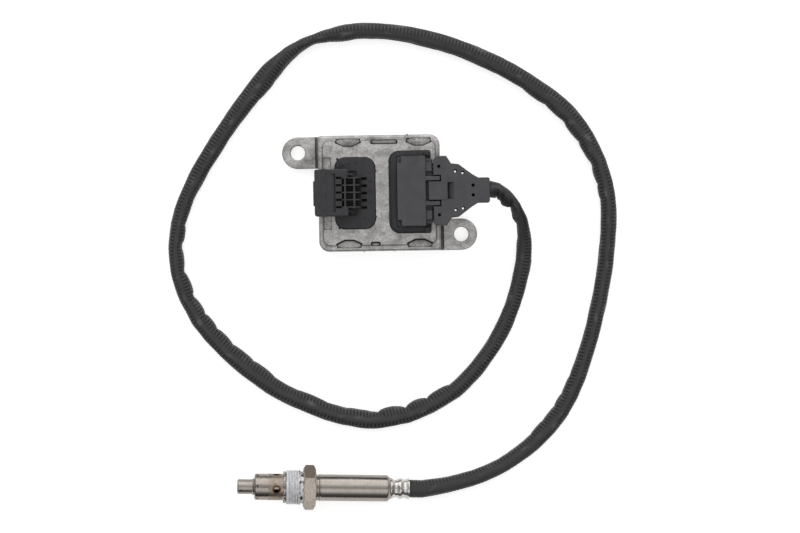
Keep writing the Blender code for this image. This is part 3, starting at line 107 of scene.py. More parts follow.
# Probe, by station along its axis from the tip
PROBE_TIP = (-82.6, -163.9)
PROBE_YAW = math.radians(-2.1)
HEX_HALF = 11.0
HEX_START, HEX_END = 37.1, 44.1
SHELL_RADIUS = 6.6
SLEEVE_RADIUS = 7.45
SLEEVE_START, SLEEVE_END = 44.4, 84.8
COLLAR_START = 86.8
CRIMPS = ((89.4, 0.0), (94.4, 0.4))
CRIMP_HALF = 2.3
PROBE_LENGTH = 97.0
TIP_RADIUS = 4.25
OUTER_START, OUTER_END = 9.7, 25.5
OUTER_RADIUS = 7.4
WELD_AT = 17.9
SMALL_HOLE_AT, SMALL_HOLE_TURN = 11.3, math.radians(-8)
LARGE_HOLE_AT, LARGE_HOLE_TURN = 22.0, math.radians(6)
SEAT_START, SEAT_END = 25.8, 27.2
THREAD_START, THREAD_END = 27.5, 34.9
THREAD_RADIUS = 10.0
THREAD_PITCH, THREAD_DEPTH = 1.5, 0.85
NECK_RADIUS = 9.0
BORE_RADIUS = 6.9

# Cable: the same route as the frame's, in millimetres from the cover's neck to the crimped collar
CABLE_DIAMETER = 9.5
CABLE_EXIT = (61.9, 0.3, 24.2)
LAY_HEIGHT = 4.9
CABLE_ROUTE = (
    (68.5, -1.2, 23.2), (72.5, -4.6, 21.2), (76.5, -9.6, 18.0), (80.4, -19.5, 12.0), (81.6, -32.0, 6.9),
    (79.9, -44.6, 5.1),
    *((x, y, LAY_HEIGHT) for x, y in (
        (73.3, -67.2), (61.3, -89.8), (43.4, -110.2), (26.7, -120.7), (9.6, -126.7), (-7.4, -128.4),
        (-24.4, -125.3), (-41.3, -119.1), (-58.2, -110.9), (-75.1, -99.0), (-90.8, -85.1), (-103.6, -69.6),
        (-112.6, -51.3), (-116.3, -31.3), (-113.1, -10.4), (-104.0, 9.9), (-90.6, 31.8), (-75.0, 53.1),
        (-59.3, 71.6), (-43.2, 84.7), (-23.9, 90.9), (-4.0, 92.3), (18.7, 89.7), (41.3, 83.4), (63.9, 73.9),
        (86.4, 61.1), (106.8, 44.6), (121.8, 22.2), (129.1, -1.7), (128.9, -28.4), (124.2, -59.5), (116.6, -88.9),
        (105.1, -117.7), (88.9, -139.0), (65.9, -155.7),
    )),
    (43.1, -164.0, 5.2), (24.0, -167.3, 5.9),
)
RIB_PITCH = 2.0
RIB_DEPTH = 0.42
RINGS_PER_RIB = 5
CABLE_SIDES = 40
# Half of the wrap's height at most, and its product with the width, which flattens the wrap where it is wide
CABLE_HALF_HEIGHT, CABLE_FLATNESS = 4.45, 41.0
CABLE_OVER_FLOOR = 0.15
# The wrap's width at stations along the cable, where it is stretched, bunched or twisted
CABLE_WIDTHS = (
    (52, 9.5), (70, 9.1), (120, 9.3), (148, 9.4), (206, 10.2), (231, 10.4), (259, 10.6), (297, 9.8), (320, 8.8),
    (345, 7.8), (365, 8.5), (397, 9.8), (419, 10.1), (445, 10.8), (462, 11.6), (478, 8.6), (487, 6.9), (495, 6.0),
    (503, 7.4), (515, 9.2), (533, 9.2), (562, 9.8), (605, 10.0), (632, 10.2), (658, 10.4), (690, 8.9), (719, 9.2),
    (777, 9.0), (812, 9.4), (846, 9.6), (878, 8.8), (908, 9.2), (931, 10.4),
)
# Lumps where the wrap bunches on the inside of a bend: station, height and half-length
CABLE_LUMPS = (
    (147, 1.8, 8.0), (161, 2.0, 7.0), (177, 2.0, 8.0), (197, 0.8, 7.0), (226, 0.6, 9.0), (259, 1.0, 8.0),
    (274, 1.3, 8.0), (289, 1.3, 7.0), (301, 1.2, 6.0), (312, 1.2, 6.0), (327, 1.2, 7.0), (343, 1.0, 6.0),
    (357.5, 1.1, 5.5), (371, 0.5, 8.0), (455, 0.6, 7.0), (512, 0.8, 8.0), (560, 0.4, 8.0), (631, 0.8, 8.0),
    (646, 0.8, 7.0), (662, 1.0, 7.0), (676, 1.1, 7.0), (692, 1.0, 6.0), (701, 0.9, 5.0), (817, 0.6, 6.0),
    (826, 0.7, 5.0), (837, 0.8, 6.0), (847, 0.8, 6.0),
)
# How far the gathered wrap reaches from the centre line near the neck, on the bend's inside and on its outside
NECK_LENGTH = 52
NECK_INSIDE = (
    (0, 4.2), (2.4, 4.8), (4.8, 3.8), (8, 4.5), (12.4, 5.4), (15, 4.4), (17.5, 3.1), (21, 3.4), (25, 4.2),
    (28, 3.6), (31, 3.3), (38, 3.7), (45, 4.6), (52, 4.6),
)
NECK_OUTSIDE = ((0, 5.3), (3.2, 4.4), (7, 3.5), (12.4, 3.3), (19.6, 3.2), (31.8, 3.6), (45, 4.1), (52, 4.4))
# Folds between the lumps: the station where each starts on the bend's inside, its run to the top, and its strength
FOLDS = (
    (5.0, -1.5, 1.0), (9.5, -3.0, 0.9), (17.5, -4.5, 1.0), (30.0, -2.5, 0.7), (154.5, -4.0, 0.6),
    (168.5, -5.0, 0.7), (185.5, -5.0, 0.7), (294.0, -3.0, 0.5), (306.5, -3.0, 0.6), (320.0, -4.0, 0.7),
    (335.0, -3.0, 0.5), (697.0, -3.0, 0.5), (822.0, -3.0, 0.5),
)
# Where the wrap's overlapping edge runs round the cable: station and angle in degrees from the bend's inside
SEAM_TURNS = (
    (0, 100), (12, 95), (20, 80), (30, 72), (50, 70), (110, 76), (170, 90), (300, 92), (330, 96), (360, 78),
    (420, 70), (455, 88), (478, 115), (497, 75), (530, 62), (640, 72), (690, 88), (800, 92), (840, 95),
    (880, 100), (931, 106),
)
# Half of the smooth strip's width there, in degrees round the cable
SEAM_HALVES = ((0, 16), (500, 16), (530, 26), (640, 22), (690, 16), (820, 16), (870, 38), (931, 46))
SEAM_STEP = 0.3

TAU = 2 * math.pi
# The dome's bands end at this angle on both sides, in degrees from straight up
DOME_END = 120
# Strength of the dome, as a colour ramp's own levels end at one
DOME_TOP = 2.0
# How bright the paper glows to the camera, and where a piece mirrors it
PAPER_SEEN, PAPER_MIRRORED = 0.64, 0.33


# Materials

def linear(colour):
    """Linear colour of an sRGB hex value."""
    def channel(value):
        return value / 12.92 if value <= 0.04045 else ((value + 0.055) / 1.055) ** 2.4
    return (*(channel(int(colour[i:i + 2], 16) / 255) for i in (1, 3, 5)), 1)


def node(tree, kind, inputs=(), out=0, stops=(), **settings):
    """Adds a node with its settings, and returns one of its outputs, or all of them where out is None.

    The inputs stand in the node's own order or have keys. Each is a value, a hex colour or the output that feeds it.
    The stops of a colour ramp are pairs of a place and a hex colour or a grey level, in rising order.
    """
    added = tree.nodes.new(kind)
    for name, value in settings.items():
        setattr(added, name, value)
    for key, value in inputs.items() if isinstance(inputs, dict) else enumerate(inputs):
        if isinstance(value, bpy.types.NodeSocket):
            tree.links.new(value, added.inputs[key])
        else:
            added.inputs[key].default_value = linear(value) if isinstance(value, str) else value
    for number, (place, colour) in enumerate(stops):
        elements = added.color_ramp.elements
        element = elements[number] if number < 2 else elements.new(place)
        element.position = place
        element.color = linear(colour) if isinstance(colour, str) else (colour, colour, colour, 1)
    return added.outputs if out is None else added.outputs[out] if added.outputs else None


def empty_material(name):
    material = bpy.data.materials.new(name)
    material.use_nodes = True
    material.node_tree.nodes.clear()
    return material, material.node_tree


def blotches(tree, size, detail=3.0, roughness=0.55):
    """Grey cloudiness of about the given size in millimetres, in the object's own space."""
    place = node(tree, "ShaderNodeTexCoord", out="Object")
    return node(tree, "ShaderNodeTexNoise", {
        "Vector": place, "Scale": 1 / (size * MM), "Detail": detail, "Roughness": roughness})


def finished(material, tree, sockets, height, bump_mm, layers=()):
    """Closes a material with its shader. Height is a grey pattern that stands bump_mm off the surface.

    The layers are pairs of a mask and a colour, which are laid over the base colour in turn.
    """
    for mask, colour in layers:
        sockets["Base Color"] = node(tree, "ShaderNodeMix", {0: mask, 6: sockets["Base Color"], 7: colour}, 2,
                                     data_type="RGBA")
    sockets["Normal"] = node(tree, "ShaderNodeBump", {"Height": height, "Distance": bump_mm * MM, "Strength": 1.0})
    shader = node(tree, "ShaderNodeBsdfPrincipled", sockets)
    node(tree, "ShaderNodeOutputMaterial", [shader])
    return material


def cast_aluminium():
    """Die-cast and shot-blasted: a warm matt grey clouded in patches, with painted shade in its corners and on its
    pockets' walls.
    """
    material, tree = empty_material("Blasted die-cast aluminium")
    clouds = blotches(tree, 8.0, 6.0, 0.72)
    grain = blotches(tree, 0.9, 2.0)
    colour = node(tree, "ShaderNodeValToRGB", [clouds], stops=(
        (0.3, "#858280"), (0.42, "#AEACA9"), (0.52, "#CAC8C6"), (0.6, "#DEDCDA"), (0.72, "#ABA8A6")))
    specks = node(tree, "ShaderNodeMapRange", (grain, 0.42, 0.75, 0, 0.55))
    # Painted shade: ambient occlusion colours the casting darker in its corners and crevices.
    crevice = node(tree, "ShaderNodeAmbientOcclusion", {"Distance": 2.2 * MM}, "AO", samples=8, only_local=True)
    painted_crevice_shade = node(tree, "ShaderNodeMapRange", (crevice, 0.55, 0.97, 1, 0))
    # Painted shade: faces marked as the pockets' steep walls are coloured dark.
    wall = node(tree, "ShaderNodeAttribute", out="Fac", attribute_name="wall")
    rough = node(tree, "ShaderNodeMapRange", (clouds, 0.3, 0.7, 0.38, 0.54))
    return finished(material, tree, {"Base Color": colour, "Roughness": rough, "Metallic": 0.85}, grain, 0.07,
                    ((specks, "#827E7B"), (painted_crevice_shade, "#3A3836"), (wall, "#454340")))


def stainless(name, roughness):
    """Drawn and turned stainless steel: warm grey, with fine tool rings, dull smudges and a bright crimped collar."""
    material, tree = empty_material(name)
    station = node(tree, "ShaderNodeAttribute", out="Fac", attribute_name="station")
    rings = node(tree, "ShaderNodeTexNoise", {"W": station, "Scale": 3.0, "Detail": 3.0}, noise_dimensions="1D")
    smudges = blotches(tree, 4.0)
    steel = node(tree, "ShaderNodeValToRGB", [rings], stops=((0.3, "#B0AAA4"), (0.7, "#A19A93")))
    dull = node(tree, "ShaderNodeMapRange", (smudges, 0.45, 0.75, 0, 0.35))
    worked = node(tree, "ShaderNodeMapRange", (station, COLLAR_START - 0.8, COLLAR_START + 0.7))
    rough = node(tree, "ShaderNodeMapRange", (smudges, 0.3, 0.7, roughness - 0.04, roughness + 0.04))
    return finished(material, tree, {"Base Color": steel, "Roughness": rough, "Metallic": 1.0}, rings, 0.003,
                    ((dull, "#8A827A"), (worked, "#D8D4D0")))


def tinted_tube():
    """The outer tube: bright up to its weld, matt behind it, and browned by heat round the large gas holes."""
    material, tree = empty_material("Heat-tinted stainless steel")
    station, scorch, soot = (node(tree, "ShaderNodeAttribute", out="Fac", attribute_name=name)
                             for name in ("station", "scorch", "soot"))
    smudges = blotches(tree, 1.6, 4.0)
    bright = node(tree, "ShaderNodeValToRGB", [smudges], stops=((0.35, "#A8A19A"), (0.65, "#99918A")))
    matt = node(tree, "ShaderNodeValToRGB", [smudges], stops=((0.32, "#857A6E"), (0.6, "#A79C90")))
    behind = node(tree, "ShaderNodeMapRange", (station, WELD_AT - 0.9, WELD_AT + 0.3))
    steel = node(tree, "ShaderNodeMix", {0: behind, 6: bright, 7: matt}, 2, data_type="RGBA")
    uneven = node(tree, "ShaderNodeMapRange", (smudges, 0.3, 0.7, 0.6, 1.25))
    burnt = node(tree, "ShaderNodeMath", (scorch, uneven), operation="MULTIPLY")
    tint = node(tree, "ShaderNodeValToRGB", [burnt], stops=(
        (0.08, "#FFFFFF"), (0.35, "#DCC6AA"), (0.6, "#A8805C"), (0.85, "#5E4435")))
    colour = node(tree, "ShaderNodeMix", {0: 1.0, 6: steel, 7: tint}, 2, data_type="RGBA", blend_type="MULTIPLY")
    rough = node(tree, "ShaderNodeMapRange", (behind, 0, 1, 0.17, 0.36))
    # The whole bore is coloured near black.
    return finished(material, tree, {"Base Color": colour, "Roughness": rough, "Metallic": 1.0}, smudges, 0.01,
                    [(soot, "#191614")])


def pasted_steel():
    """The screw: blasted steel with a speckled grain, and silvery paste, thick in the thread and ragged at its ends."""
    material, tree = empty_material("Blasted steel with anti-seize paste")
    paste, facet_shade, root = (node(tree, "ShaderNodeAttribute", out="Fac", attribute_name=name)
                            for name in ("paste", "facet_shade", "root"))
    speckle = blotches(tree, 0.8, 2.0)
    patches = blotches(tree, 1.6)
    steel = node(tree, "ShaderNodeValToRGB", [speckle], stops=((0.35, "#D9CFC5"), (0.65, "#B9AFA5")))
    # Painted shade: a darker copy of the steel for facets by the side they face, and for the neck.
    shaded_steel = node(tree, "ShaderNodeValToRGB", [speckle], stops=((0.35, "#968B80"), (0.65, "#82786E")))
    uneven = node(tree, "ShaderNodeMapRange", (patches, 0.3, 0.7, -0.3, 0.3))
    ragged = node(tree, "ShaderNodeMath", (paste, uneven), operation="ADD")
    cover = node(tree, "ShaderNodeMapRange", (ragged, 0.42, 0.58))
    cream = node(tree, "ShaderNodeValToRGB", [patches], stops=((0.3, "#D6D7DB"), (0.5, "#EDEEF1"), (0.7, "#FFFFFF")))
    grain = node(tree, "ShaderNodeMath", (speckle, cover), operation="ADD")
    metal = node(tree, "ShaderNodeMapRange", (cover, 0, 1, 1, 0.15))
    rough = node(tree, "ShaderNodeMapRange", (cover, 0, 1, 0.5, 0.38))
    # Painted shade: the thread's grooves and patches on the neck are coloured dark.
    return finished(material, tree, {"Base Color": steel, "Roughness": rough, "Metallic": metal}, grain, 0.02,
                    ((facet_shade, shaded_steel), (cover, cream), (root, "#38322F")))


def polyamide(name, dark, light, grain_mm, roughness):
    """Glass-filled polyamide from a spark-eroded mould: satin with a fine pebble, cloudy, and with painted shade in its
    corners.
    """
    material, tree = empty_material(name)
    pebble = blotches(tree, grain_mm, 2.0)
    cloud = blotches(tree, 6.0)
    colour = node(tree, "ShaderNodeValToRGB", [cloud], stops=((0.3, dark), (0.7, light)))
    # Painted shade: ambient occlusion colours the plastic near black in its corners and creases.
    open_to_air = node(tree, "ShaderNodeAmbientOcclusion", {"Distance": 4.0 * MM}, "AO", samples=8)
    painted_corner_shade = node(tree, "ShaderNodeMapRange", (open_to_air, 0.15, 0.68, 0.75, 0))
    rough = node(tree, "ShaderNodeMapRange", (cloud, 0.3, 0.7, roughness - 0.05, roughness + 0.07))
    return finished(material, tree, {"Base Color": colour, "Roughness": rough, "Specular IOR Level": 0.4}, pebble, 0.02,
                    [(painted_corner_shade, "#040404")])


def wrap_fabric():
    """Woven wrap round the wires: matt charcoal yarn, with painted shade in the grooves between ribs, paler at random
    where rubbed, and with painted highlight on the rib crests and sides.
    """
    material, tree = empty_material("Woven polyester wrap")
    painted_groove_shade, worn_and_highlit = (node(tree, "ShaderNodeAttribute", out="Fac", attribute_name=name) for name in ("painted_groove_shade", "worn_and_highlit"))
    weave = blotches(tree, 0.7, 1.0)
    rubbed = blotches(tree, 7.0, 4.0)
    yarn = node(tree, "ShaderNodeValToRGB", [rubbed], stops=((0.3, "#232325"), (0.7, "#38383A")))
    threads = node(tree, "ShaderNodeMapRange", (weave, 0.4, 0.7, 0, 0.5))
    rough = node(tree, "ShaderNodeMapRange", (rubbed, 0.3, 0.7, 0.48, 0.66))
    return finished(material, tree, {
        "Base Color": yarn, "Roughness": rough, "Specular IOR Level": 0.4, "Sheen Weight": 0.4,
        "Sheen Roughness": 0.4, "Sheen Tint": "#B8AFA6",
    }, weave, 0.06, ((threads, "#1C1C1D"), (worn_and_highlit, "#7B7977"), (painted_groove_shade, "#070707")))


def plain_grain(name, dark, light, grain_mm, roughness, bump_mm=0.01, metallic=0.0, spread=0.04, detail=3.0):
    """A surface with one grain of two near colours, for the pieces that hardly show."""
    material, tree = empty_material(name)
    grain = blotches(tree, grain_mm, detail)
    colour = node(tree, "ShaderNodeValToRGB", [grain], stops=((0.3, dark), (0.7, light)))
    rough = node(tree, "ShaderNodeMapRange", (grain, 0.3, 0.7, roughness - spread, roughness + spread))
    return finished(material, tree, {"Base Color": colour, "Roughness": rough, "Metallic": metallic}, grain, bump_mm)


def floor_paper():
    """White studio paper: it takes the object's soft shadow, and shows white to the camera and in reflections."""
    material, tree = empty_material("White studio paper")
    path = node(tree, "ShaderNodeLightPath", out=None)
    mirrored = node(tree, "ShaderNodeMath", (path["Is Glossy Ray"], path["Is Transmission Ray"]), operation="MAXIMUM")
    mirrored = node(tree, "ShaderNodeMath", (mirrored, PAPER_MIRRORED), operation="MULTIPLY")
    glow = node(tree, "ShaderNodeMath", (path["Is Camera Ray"], PAPER_SEEN, mirrored), operation="MULTIPLY_ADD")
    shader = node(tree, "ShaderNodeBsdfPrincipled", {
        "Base Color": "#EEEEEE", "Roughness": 0.9, "Emission Color": "#FFFFFF", "Emission Strength": glow,
        "Specular IOR Level": 0.0})
    node(tree, "ShaderNodeOutputMaterial", [shader])
    return material


# Mesh making

def arc(x, y, radius, start, end, steps):
    """Points of an arc between two angles in degrees."""
    angles = [math.radians(start + (end - start) * i / steps) for i in range(steps + 1)]
    return [(x + radius * math.cos(a), y + radius * math.sin(a)) for a in angles]


def circle(x, y, radius, steps):
    """Points of a whole circle, each once."""
    return arc(x, y, radius, 0, 360, steps)[:-1]


def rectangle(left, right, front, rear, corners, steps):
    """A rectangle with its corners' radii: right rear, left rear, left front and right front."""
    if not isinstance(corners, tuple):
        corners = (corners,) * 4
    a, b, c, d = corners
    return [
        *arc(right - a, rear - a, a, 0, 90, steps), *arc(left + b, rear - b, b, 90, 180, steps),
        *arc(left + c, front + c, c, 180, 270, steps), *arc(right - d, front + d, d, 270, 360, steps),
    ]


def inset_outline(points, inset):
    """The outline with each of its edges moved inwards."""
    moved = []
    for i, (x, y) in enumerate(points):
        before, after = points[i - 1], points[(i + 1) % len(points)]
        first = Vector((x - before[0], y - before[1])).normalized()
        second = Vector((after[0] - x, after[1] - y)).normalized()
        inward = Vector((-first.y - second.y, first.x + second.x)).normalized()
        reach = inset / max(inward.dot(Vector((-first.y, first.x))), 0.4)
        moved.append((x + inward.x * reach, y + inward.y * reach))
    return moved


def rounded(bottom, top, under=0.0, over=0.0, steps=3):
    """Heights and insets of a shape with rounded lower and upper edges."""
    turns = [math.pi / 2 * i / steps for i in range(steps + 1)]
    low, high = [(bottom, 0.0)], [(top, 0.0)]
    if under:
        low = [(bottom + under * (1 - math.cos(a)), under * (1 - math.sin(a))) for a in turns]
    if over:
        high = [(top - over * (1 - math.sin(a)), over * (1 - math.cos(a))) for a in turns]
    return low + high


def opening(floor, surface, fillet=0.0, edge=0.0):
    """Levels of a cutter that leaves a fillet at its floor and a rounded edge where it breaks the surface."""
    levels = rounded(floor, surface, fillet)[:-1] + [(z, -inset) for z, inset in rounded(floor, surface, 0, edge)[1:]]
    return [*levels, (surface + 5.0, levels[-1][1])]


def linked(name, made):
    """An object with its faces looking outwards."""
    mesh = bpy.data.meshes.new(name)
    bmesh.ops.recalc_face_normals(made, faces=made.faces)
    if made.calc_volume(signed=True) < 0:
        bmesh.ops.reverse_faces(made, faces=made.faces)
    made.to_mesh(mesh)
    made.free()
    thing = bpy.data.objects.new(name, mesh)
    bpy.context.scene.collection.objects.link(thing)
    return thing


def skinned(name, rings, capped=True):
    """A closed shape over rings of points: with a face on its first and its last ring, or else round to the first."""
    made = bmesh.new()
    rings = [[made.verts.new(point) for point in ring] for ring in rings]
    for ring, after in zip(rings, rings[1:] + ([] if capped else rings[:1])):
        for i in range(len(ring)):
            j = (i + 1) % len(ring)
            made.faces.new((ring[i], ring[j], after[j], after[i]))
    if capped:
        made.faces.new(rings[0][::-1])
        made.faces.new(rings[-1])
    return linked(name, made)


def loft(name, outline, levels):
    """A closed shape over an outline. Each level is a height, and how far the outline is moved inwards there."""
    if sum(x * b - a * y for (x, y), (a, b) in zip(outline, outline[1:] + outline[:1])) < 0:
        outline = outline[::-1]
    return skinned(name, [[(x, y, height) for x, y in inset_outline(outline, inset)] for height, inset in levels])


def block(name, low, high, rounding=0.3, corner=None):
    """A box between two corners with all of its edges rounded."""
    corner = rounding * 1.3 if corner is None else corner
    outline = rectangle(low[0], high[0], low[1], high[1], corner, 3)
    return loft(name, outline, rounded(low[2], high[2], rounding, rounding))


def box_cutter(name, low, high):
    return loft(name, [(low[0], low[1]), (high[0], low[1]), (high[0], high[1]), (low[0], high[1])],
                [(low[2], 0), (high[2], 0)])


def boxes(make, name, x_range, middles, half, z_range, *edges):
    """The same box at each of several middles across the unit, with its half width there."""
    return [make(name, (x_range[0], y - half, z_range[0]), (x_range[1], y + half, z_range[1]), *edges)
            for y in middles]


def prism(name, side, front, rear):
    """A shape with one outline, of (x, z) points, from its front to its rear."""
    return skinned(name, [[(x, y, z) for x, z in side] for y in (front, rear)])


def turned(name, outer, inner, columns=96, detail=None):
    """A hollow part turned about Z, from (radius, station) points of its outside and then of its bore, end to start."""
    angles = [TAU * i / columns for i in range(columns)]
    rings = []
    for number, (radius, station) in enumerate([*outer, *inner]):
        relief = detail if number < len(outer) else None
        reaches = [(radius + (relief(station, a) if relief else 0), a) for a in angles]
        rings.append([(reach * math.cos(a), reach * math.sin(a), station) for reach, a in reaches])
    return skinned(name, rings, capped=False)


def fine_profile(points, step):
    """The profile with more points along it, so that a pattern shows on it."""
    dense = []
    for (r0, s0), (r1, s1) in zip(points, points[1:]):
        count = max(1, round(math.hypot(r1 - r0, s1 - s0) / step))
        dense += [(r0 + (r1 - r0) * i / count, s0 + (s1 - s0) * i / count) for i in range(count)]
    return [*dense, points[-1]]


def rod_cutter(name, radius, start, end, steps):
    made = bmesh.new()
    start, end = Vector(start), Vector(end)
    turn = (end - start).to_track_quat("Z", "X")
    bmesh.ops.create_cone(made, cap_ends=True, segments=steps, radius1=radius, radius2=radius,
                          depth=(end - start).length, matrix=Matrix.LocRotScale((start + end) / 2, turn, None))
    return linked(name, made)


def shaped(thing, join=(), cut=(), keep=()):
    """Joins and cuts a shape with others, which are used up."""
    for operation, others in (("UNION", join), ("DIFFERENCE", cut), ("INTERSECT", keep)):
        for other in others:
            modifier = thing.modifiers.new(other.name, "BOOLEAN")
            modifier.operation = operation
            modifier.solver = "MANIFOLD"
            modifier.object = other
    bpy.context.view_layer.update()
    graph = bpy.context.evaluated_depsgraph_get()
    mesh = bpy.data.meshes.new_from_object(thing.evaluated_get(graph))
    thing.modifiers.clear()
    old, thing.data = thing.data, mesh
    for used in (old, *(other.data for other in (*join, *cut, *keep))):
        bpy.data.meshes.remove(used)
    return thing


def probe_frame():
    """The probe's own space: Z along its axis from the tip, X up. It lies on its hexagon and its sleeve's end."""
    lean = math.atan((HEX_HALF - SLEEVE_RADIUS) / (SLEEVE_END - HEX_END))
    along = Vector((math.cos(lean) * math.cos(PROBE_YAW), math.cos(lean) * math.sin(PROBE_YAW), -math.sin(lean)))
    up = Vector((math.sin(lean) * math.cos(PROBE_YAW), math.sin(lean) * math.sin(PROBE_YAW), math.cos(lean)))
    height = HEX_HALF * math.cos(lean) + HEX_END * math.sin(lean)
    turn = Matrix((up, along.cross(up), along)).transposed().to_4x4()
    return Matrix.Translation((*PROBE_TIP, height)) @ turn


def store(mesh, name, values, domain="POINT"):
    """Keeps a number at every point or face of the mesh for its material."""
    mesh.attributes.new(name, "FLOAT", domain).data.foreach_set("value", values)


def piece(thing, material, body, nodes, sharp=32.0, weighted=True):
    """Finishes a piece: metres, smooth shading with sharp edges kept, material, body and the nodes it stands for."""
    mesh = thing.data
    mesh.transform(Matrix.Scale(MM, 4))
    mesh.materials.clear()
    mesh.materials.append(material)
    mesh.shade_smooth()
    mesh.set_sharp_from_angle(angle=math.radians(sharp))
    if weighted:
        modifier = thing.modifiers.new("Even shading", "WEIGHTED_NORMAL")
        modifier.keep_sharp = True
    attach(thing, body)
    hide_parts(*nodes)
    return thing


def probe_piece(thing, material, body, nodes, slot, sharp, **attributes):
    """A piece of the probe, made along its axis and then laid where the probe lies."""
    mesh = thing.data
    store(mesh, "station", [v.co.z for v in mesh.vertices])
    for name, value_of in attributes.items():
        store(mesh, name, [value_of(v.co) for v in mesh.vertices])
    mesh.transform(probe_frame())
    return piece(thing, material, body, nodes, sharp)


# Camera

def add_camera():
    camera = bpy.data.objects.new("camera", bpy.data.cameras.new("camera"))
    camera.data.lens = CAMERA_LENS
    camera.data.sensor_width = 36.0
    camera.location = Vector(CAMERA_PLACE) * MM
    camera.rotation_euler = (0, 0, CAMERA_ROLL)
    bpy.context.scene.collection.objects.link(camera)
    bpy.context.scene.camera = camera


# Cable

def eased(value, low, high):
    """Rises smoothly from nought to one as the value goes from low to high."""
    share = max(0.0, min(1.0, (value - low) / (high - low)))
    return share * share * (3 - 2 * share)


def along_table(table, station):
    """The value that a table of stations gives at a station, eased between its entries."""
    for (s0, v0), (s1, v1) in zip(table, table[1:]):
        if station <= s1:
            return v0 + (v1 - v0) * eased(station, s0, s1)
    return table[-1][1]


def smooth_line(points, pitch):
    """Points a fixed pitch apart on a smooth curve through the route's points."""
    ends = [2 * points[0] - points[1], *points, 2 * points[-1] - points[-2]]
    dense = []
    for a, b, c, d in zip(ends, ends[1:], ends[2:], ends[3:]):
        for i in range(24):
            t = i / 24
            dense.append(0.5 * (2 * b + (c - a) * t + (2 * a - 5 * b + 4 * c - d) * t ** 2
                                + (3 * b - a - 3 * c + d) * t ** 3))
    dense.append(points[-1])
    lengths = [0.0]
    for a, b in zip(dense, dense[1:]):
        lengths.append(lengths[-1] + (b - a).length)
    count = round(lengths[-1] / pitch)
    even, at = [], 0
    for i in range(count + 1):
        goal = lengths[-1] * i / count
        while at < len(dense) - 2 and lengths[at + 1] < goal:
            at += 1
        share = (goal - lengths[at]) / (lengths[at + 1] - lengths[at])
        even.append(dense[at].lerp(dense[at + 1], min(share, 1)))
    return even


def cable_line():
    """The cable's centre line between two short straight stretches, and its length."""
    probe = probe_frame()
    collar = probe @ Vector((0, 0, PROBE_LENGTH + 0.3))
    end = probe @ Vector((0, 0, PROBE_LENGTH + 0.3 + CABLE_DIAMETER / 3))
    start = Vector(CABLE_EXIT) + Vector((CABLE_DIAMETER / 3, 0, 0))
    middle = smooth_line([start, *[Vector(point) for point in CABLE_ROUTE], end], RIB_PITCH / RINGS_PER_RIB)
    line = [Vector(CABLE_EXIT), *middle, collar]
    return line, sum((b - a).length for a, b in zip(line, line[1:]))


def lump_height(station):
    """How far the bunched wrap stands out on the inside of a bend."""
    height = 0.0
    for middle, rise, half in CABLE_LUMPS:
        away = abs(station - middle) / half
        if away < 1:
            height = max(height, rise * (1 - away ** 2.2) ** 0.8)
    return height


def wrap_point(station, angle):
    """The wrap at a station and an angle: its stand off a plain oval, the painted shade of its grooves and folds, and
    its wear with painted highlight.
    """
    seam = math.radians(along_table(SEAM_TURNS, station))
    half = math.radians(along_table(SEAM_HALVES, station))
    past = (angle - seam) % TAU
    aside = min(past, TAU - past)
    ribbed = eased(aside, half * 0.8, half + 0.3)
    flap = SEAM_STEP * (1 - past / 2.4) if past < 2.4 else 0.0
    flap += 0.22 * (1 - eased(aside, half * 0.5, half + 0.1))
    slant = 0.7 * math.sin(angle - 0.6)
    phase = ((station + slant) / RIB_PITCH) % 1.0
    crest = 1 - (0.5 + 0.5 * math.cos(TAU * phase)) ** 1.6
    place = Vector((station * 0.09, math.cos(angle) * 1.3, math.sin(angle) * 1.3))
    rumple = noise.noise(place) * 0.3 + noise.noise(place * 2.7) * 0.15
    calm = 0.7 + 0.3 * noise.noise(Vector((station * 0.05, math.cos(angle), math.sin(angle) + 7)))
    smoother = 0.25 + 0.75 * eased(station, 8, 40)
    turned_in = (angle + math.pi) % TAU - math.pi
    fold = 0.0
    for start, run, strength in FOLDS:
        if abs(station - start) < 12 and -0.6 < turned_in < 2.2:
            off = (station - start - run * turned_in / (math.pi / 2)) / 1.1
            faded = eased(turned_in, -0.6, 0.0) * (1 - eased(turned_in, 1.3 * strength, 2.2 * strength))
            fold = max(fold, strength * math.exp(-off * off) * faded)
    crease = math.exp(-((past - 0.7) / 0.26) ** 2) * eased(station, 4, 10) * (1 - eased(station, 26, 46))
    edge = eased(abs(math.cos(angle)), 0.76, 0.93)
    rib = RIB_DEPTH * (crest - 0.5) * (0.15 + 0.85 * ribbed) * calm * smoother * (1 - 0.55 * edge)
    stand = flap + rib + rumple - 0.8 * fold - 0.6 * crease
    deep = ribbed * (1 - 0.6 * eased(aside, half + 0.38, half + 0.8))
    # Painted shade: darker in the grooves between ribs, in the folds and creases, and in a band along each side.
    painted_groove_shade = (1 - crest) ** 0.7 * (0.05 + 0.95 * deep) * smoother
    painted_groove_shade = max(painted_groove_shade, 0.95 * fold, 0.9 * crease, 0.3 * deep * (1 - eased(aside, half + 0.3, half + 0.7)))
    # Paler yarn: a little on the smooth strip, painted highlight on the rib crests and along the sides where the wrap
    # turns away, and real wear at random.
    worn_and_highlit = max(0.14 * (1 - eased(aside, half * 0.4, half + 0.15)), 0.75 * edge * (0.35 + 0.65 * crest))
    worn_and_highlit = max(worn_and_highlit, 0.36 * crest * deep * smoother) + max(0.0, noise.noise(place * 1.7 + Vector((9, 0, 0))) - 0.3)
    return stand, min(1.0, painted_groove_shade), min(0.9, worn_and_highlit)


def wrap_reach(station):
    """How far the wrap reaches from its centre line on the bend's inside, and on its outside."""
    if station < NECK_LENGTH:
        return along_table(NECK_INSIDE, station), along_table(NECK_OUTSIDE, station)
    half = along_table(CABLE_WIDTHS, station) / 2 - 0.2
    bunched = lump_height(station)
    return half + 0.95 * bunched, half - 0.15 * bunched


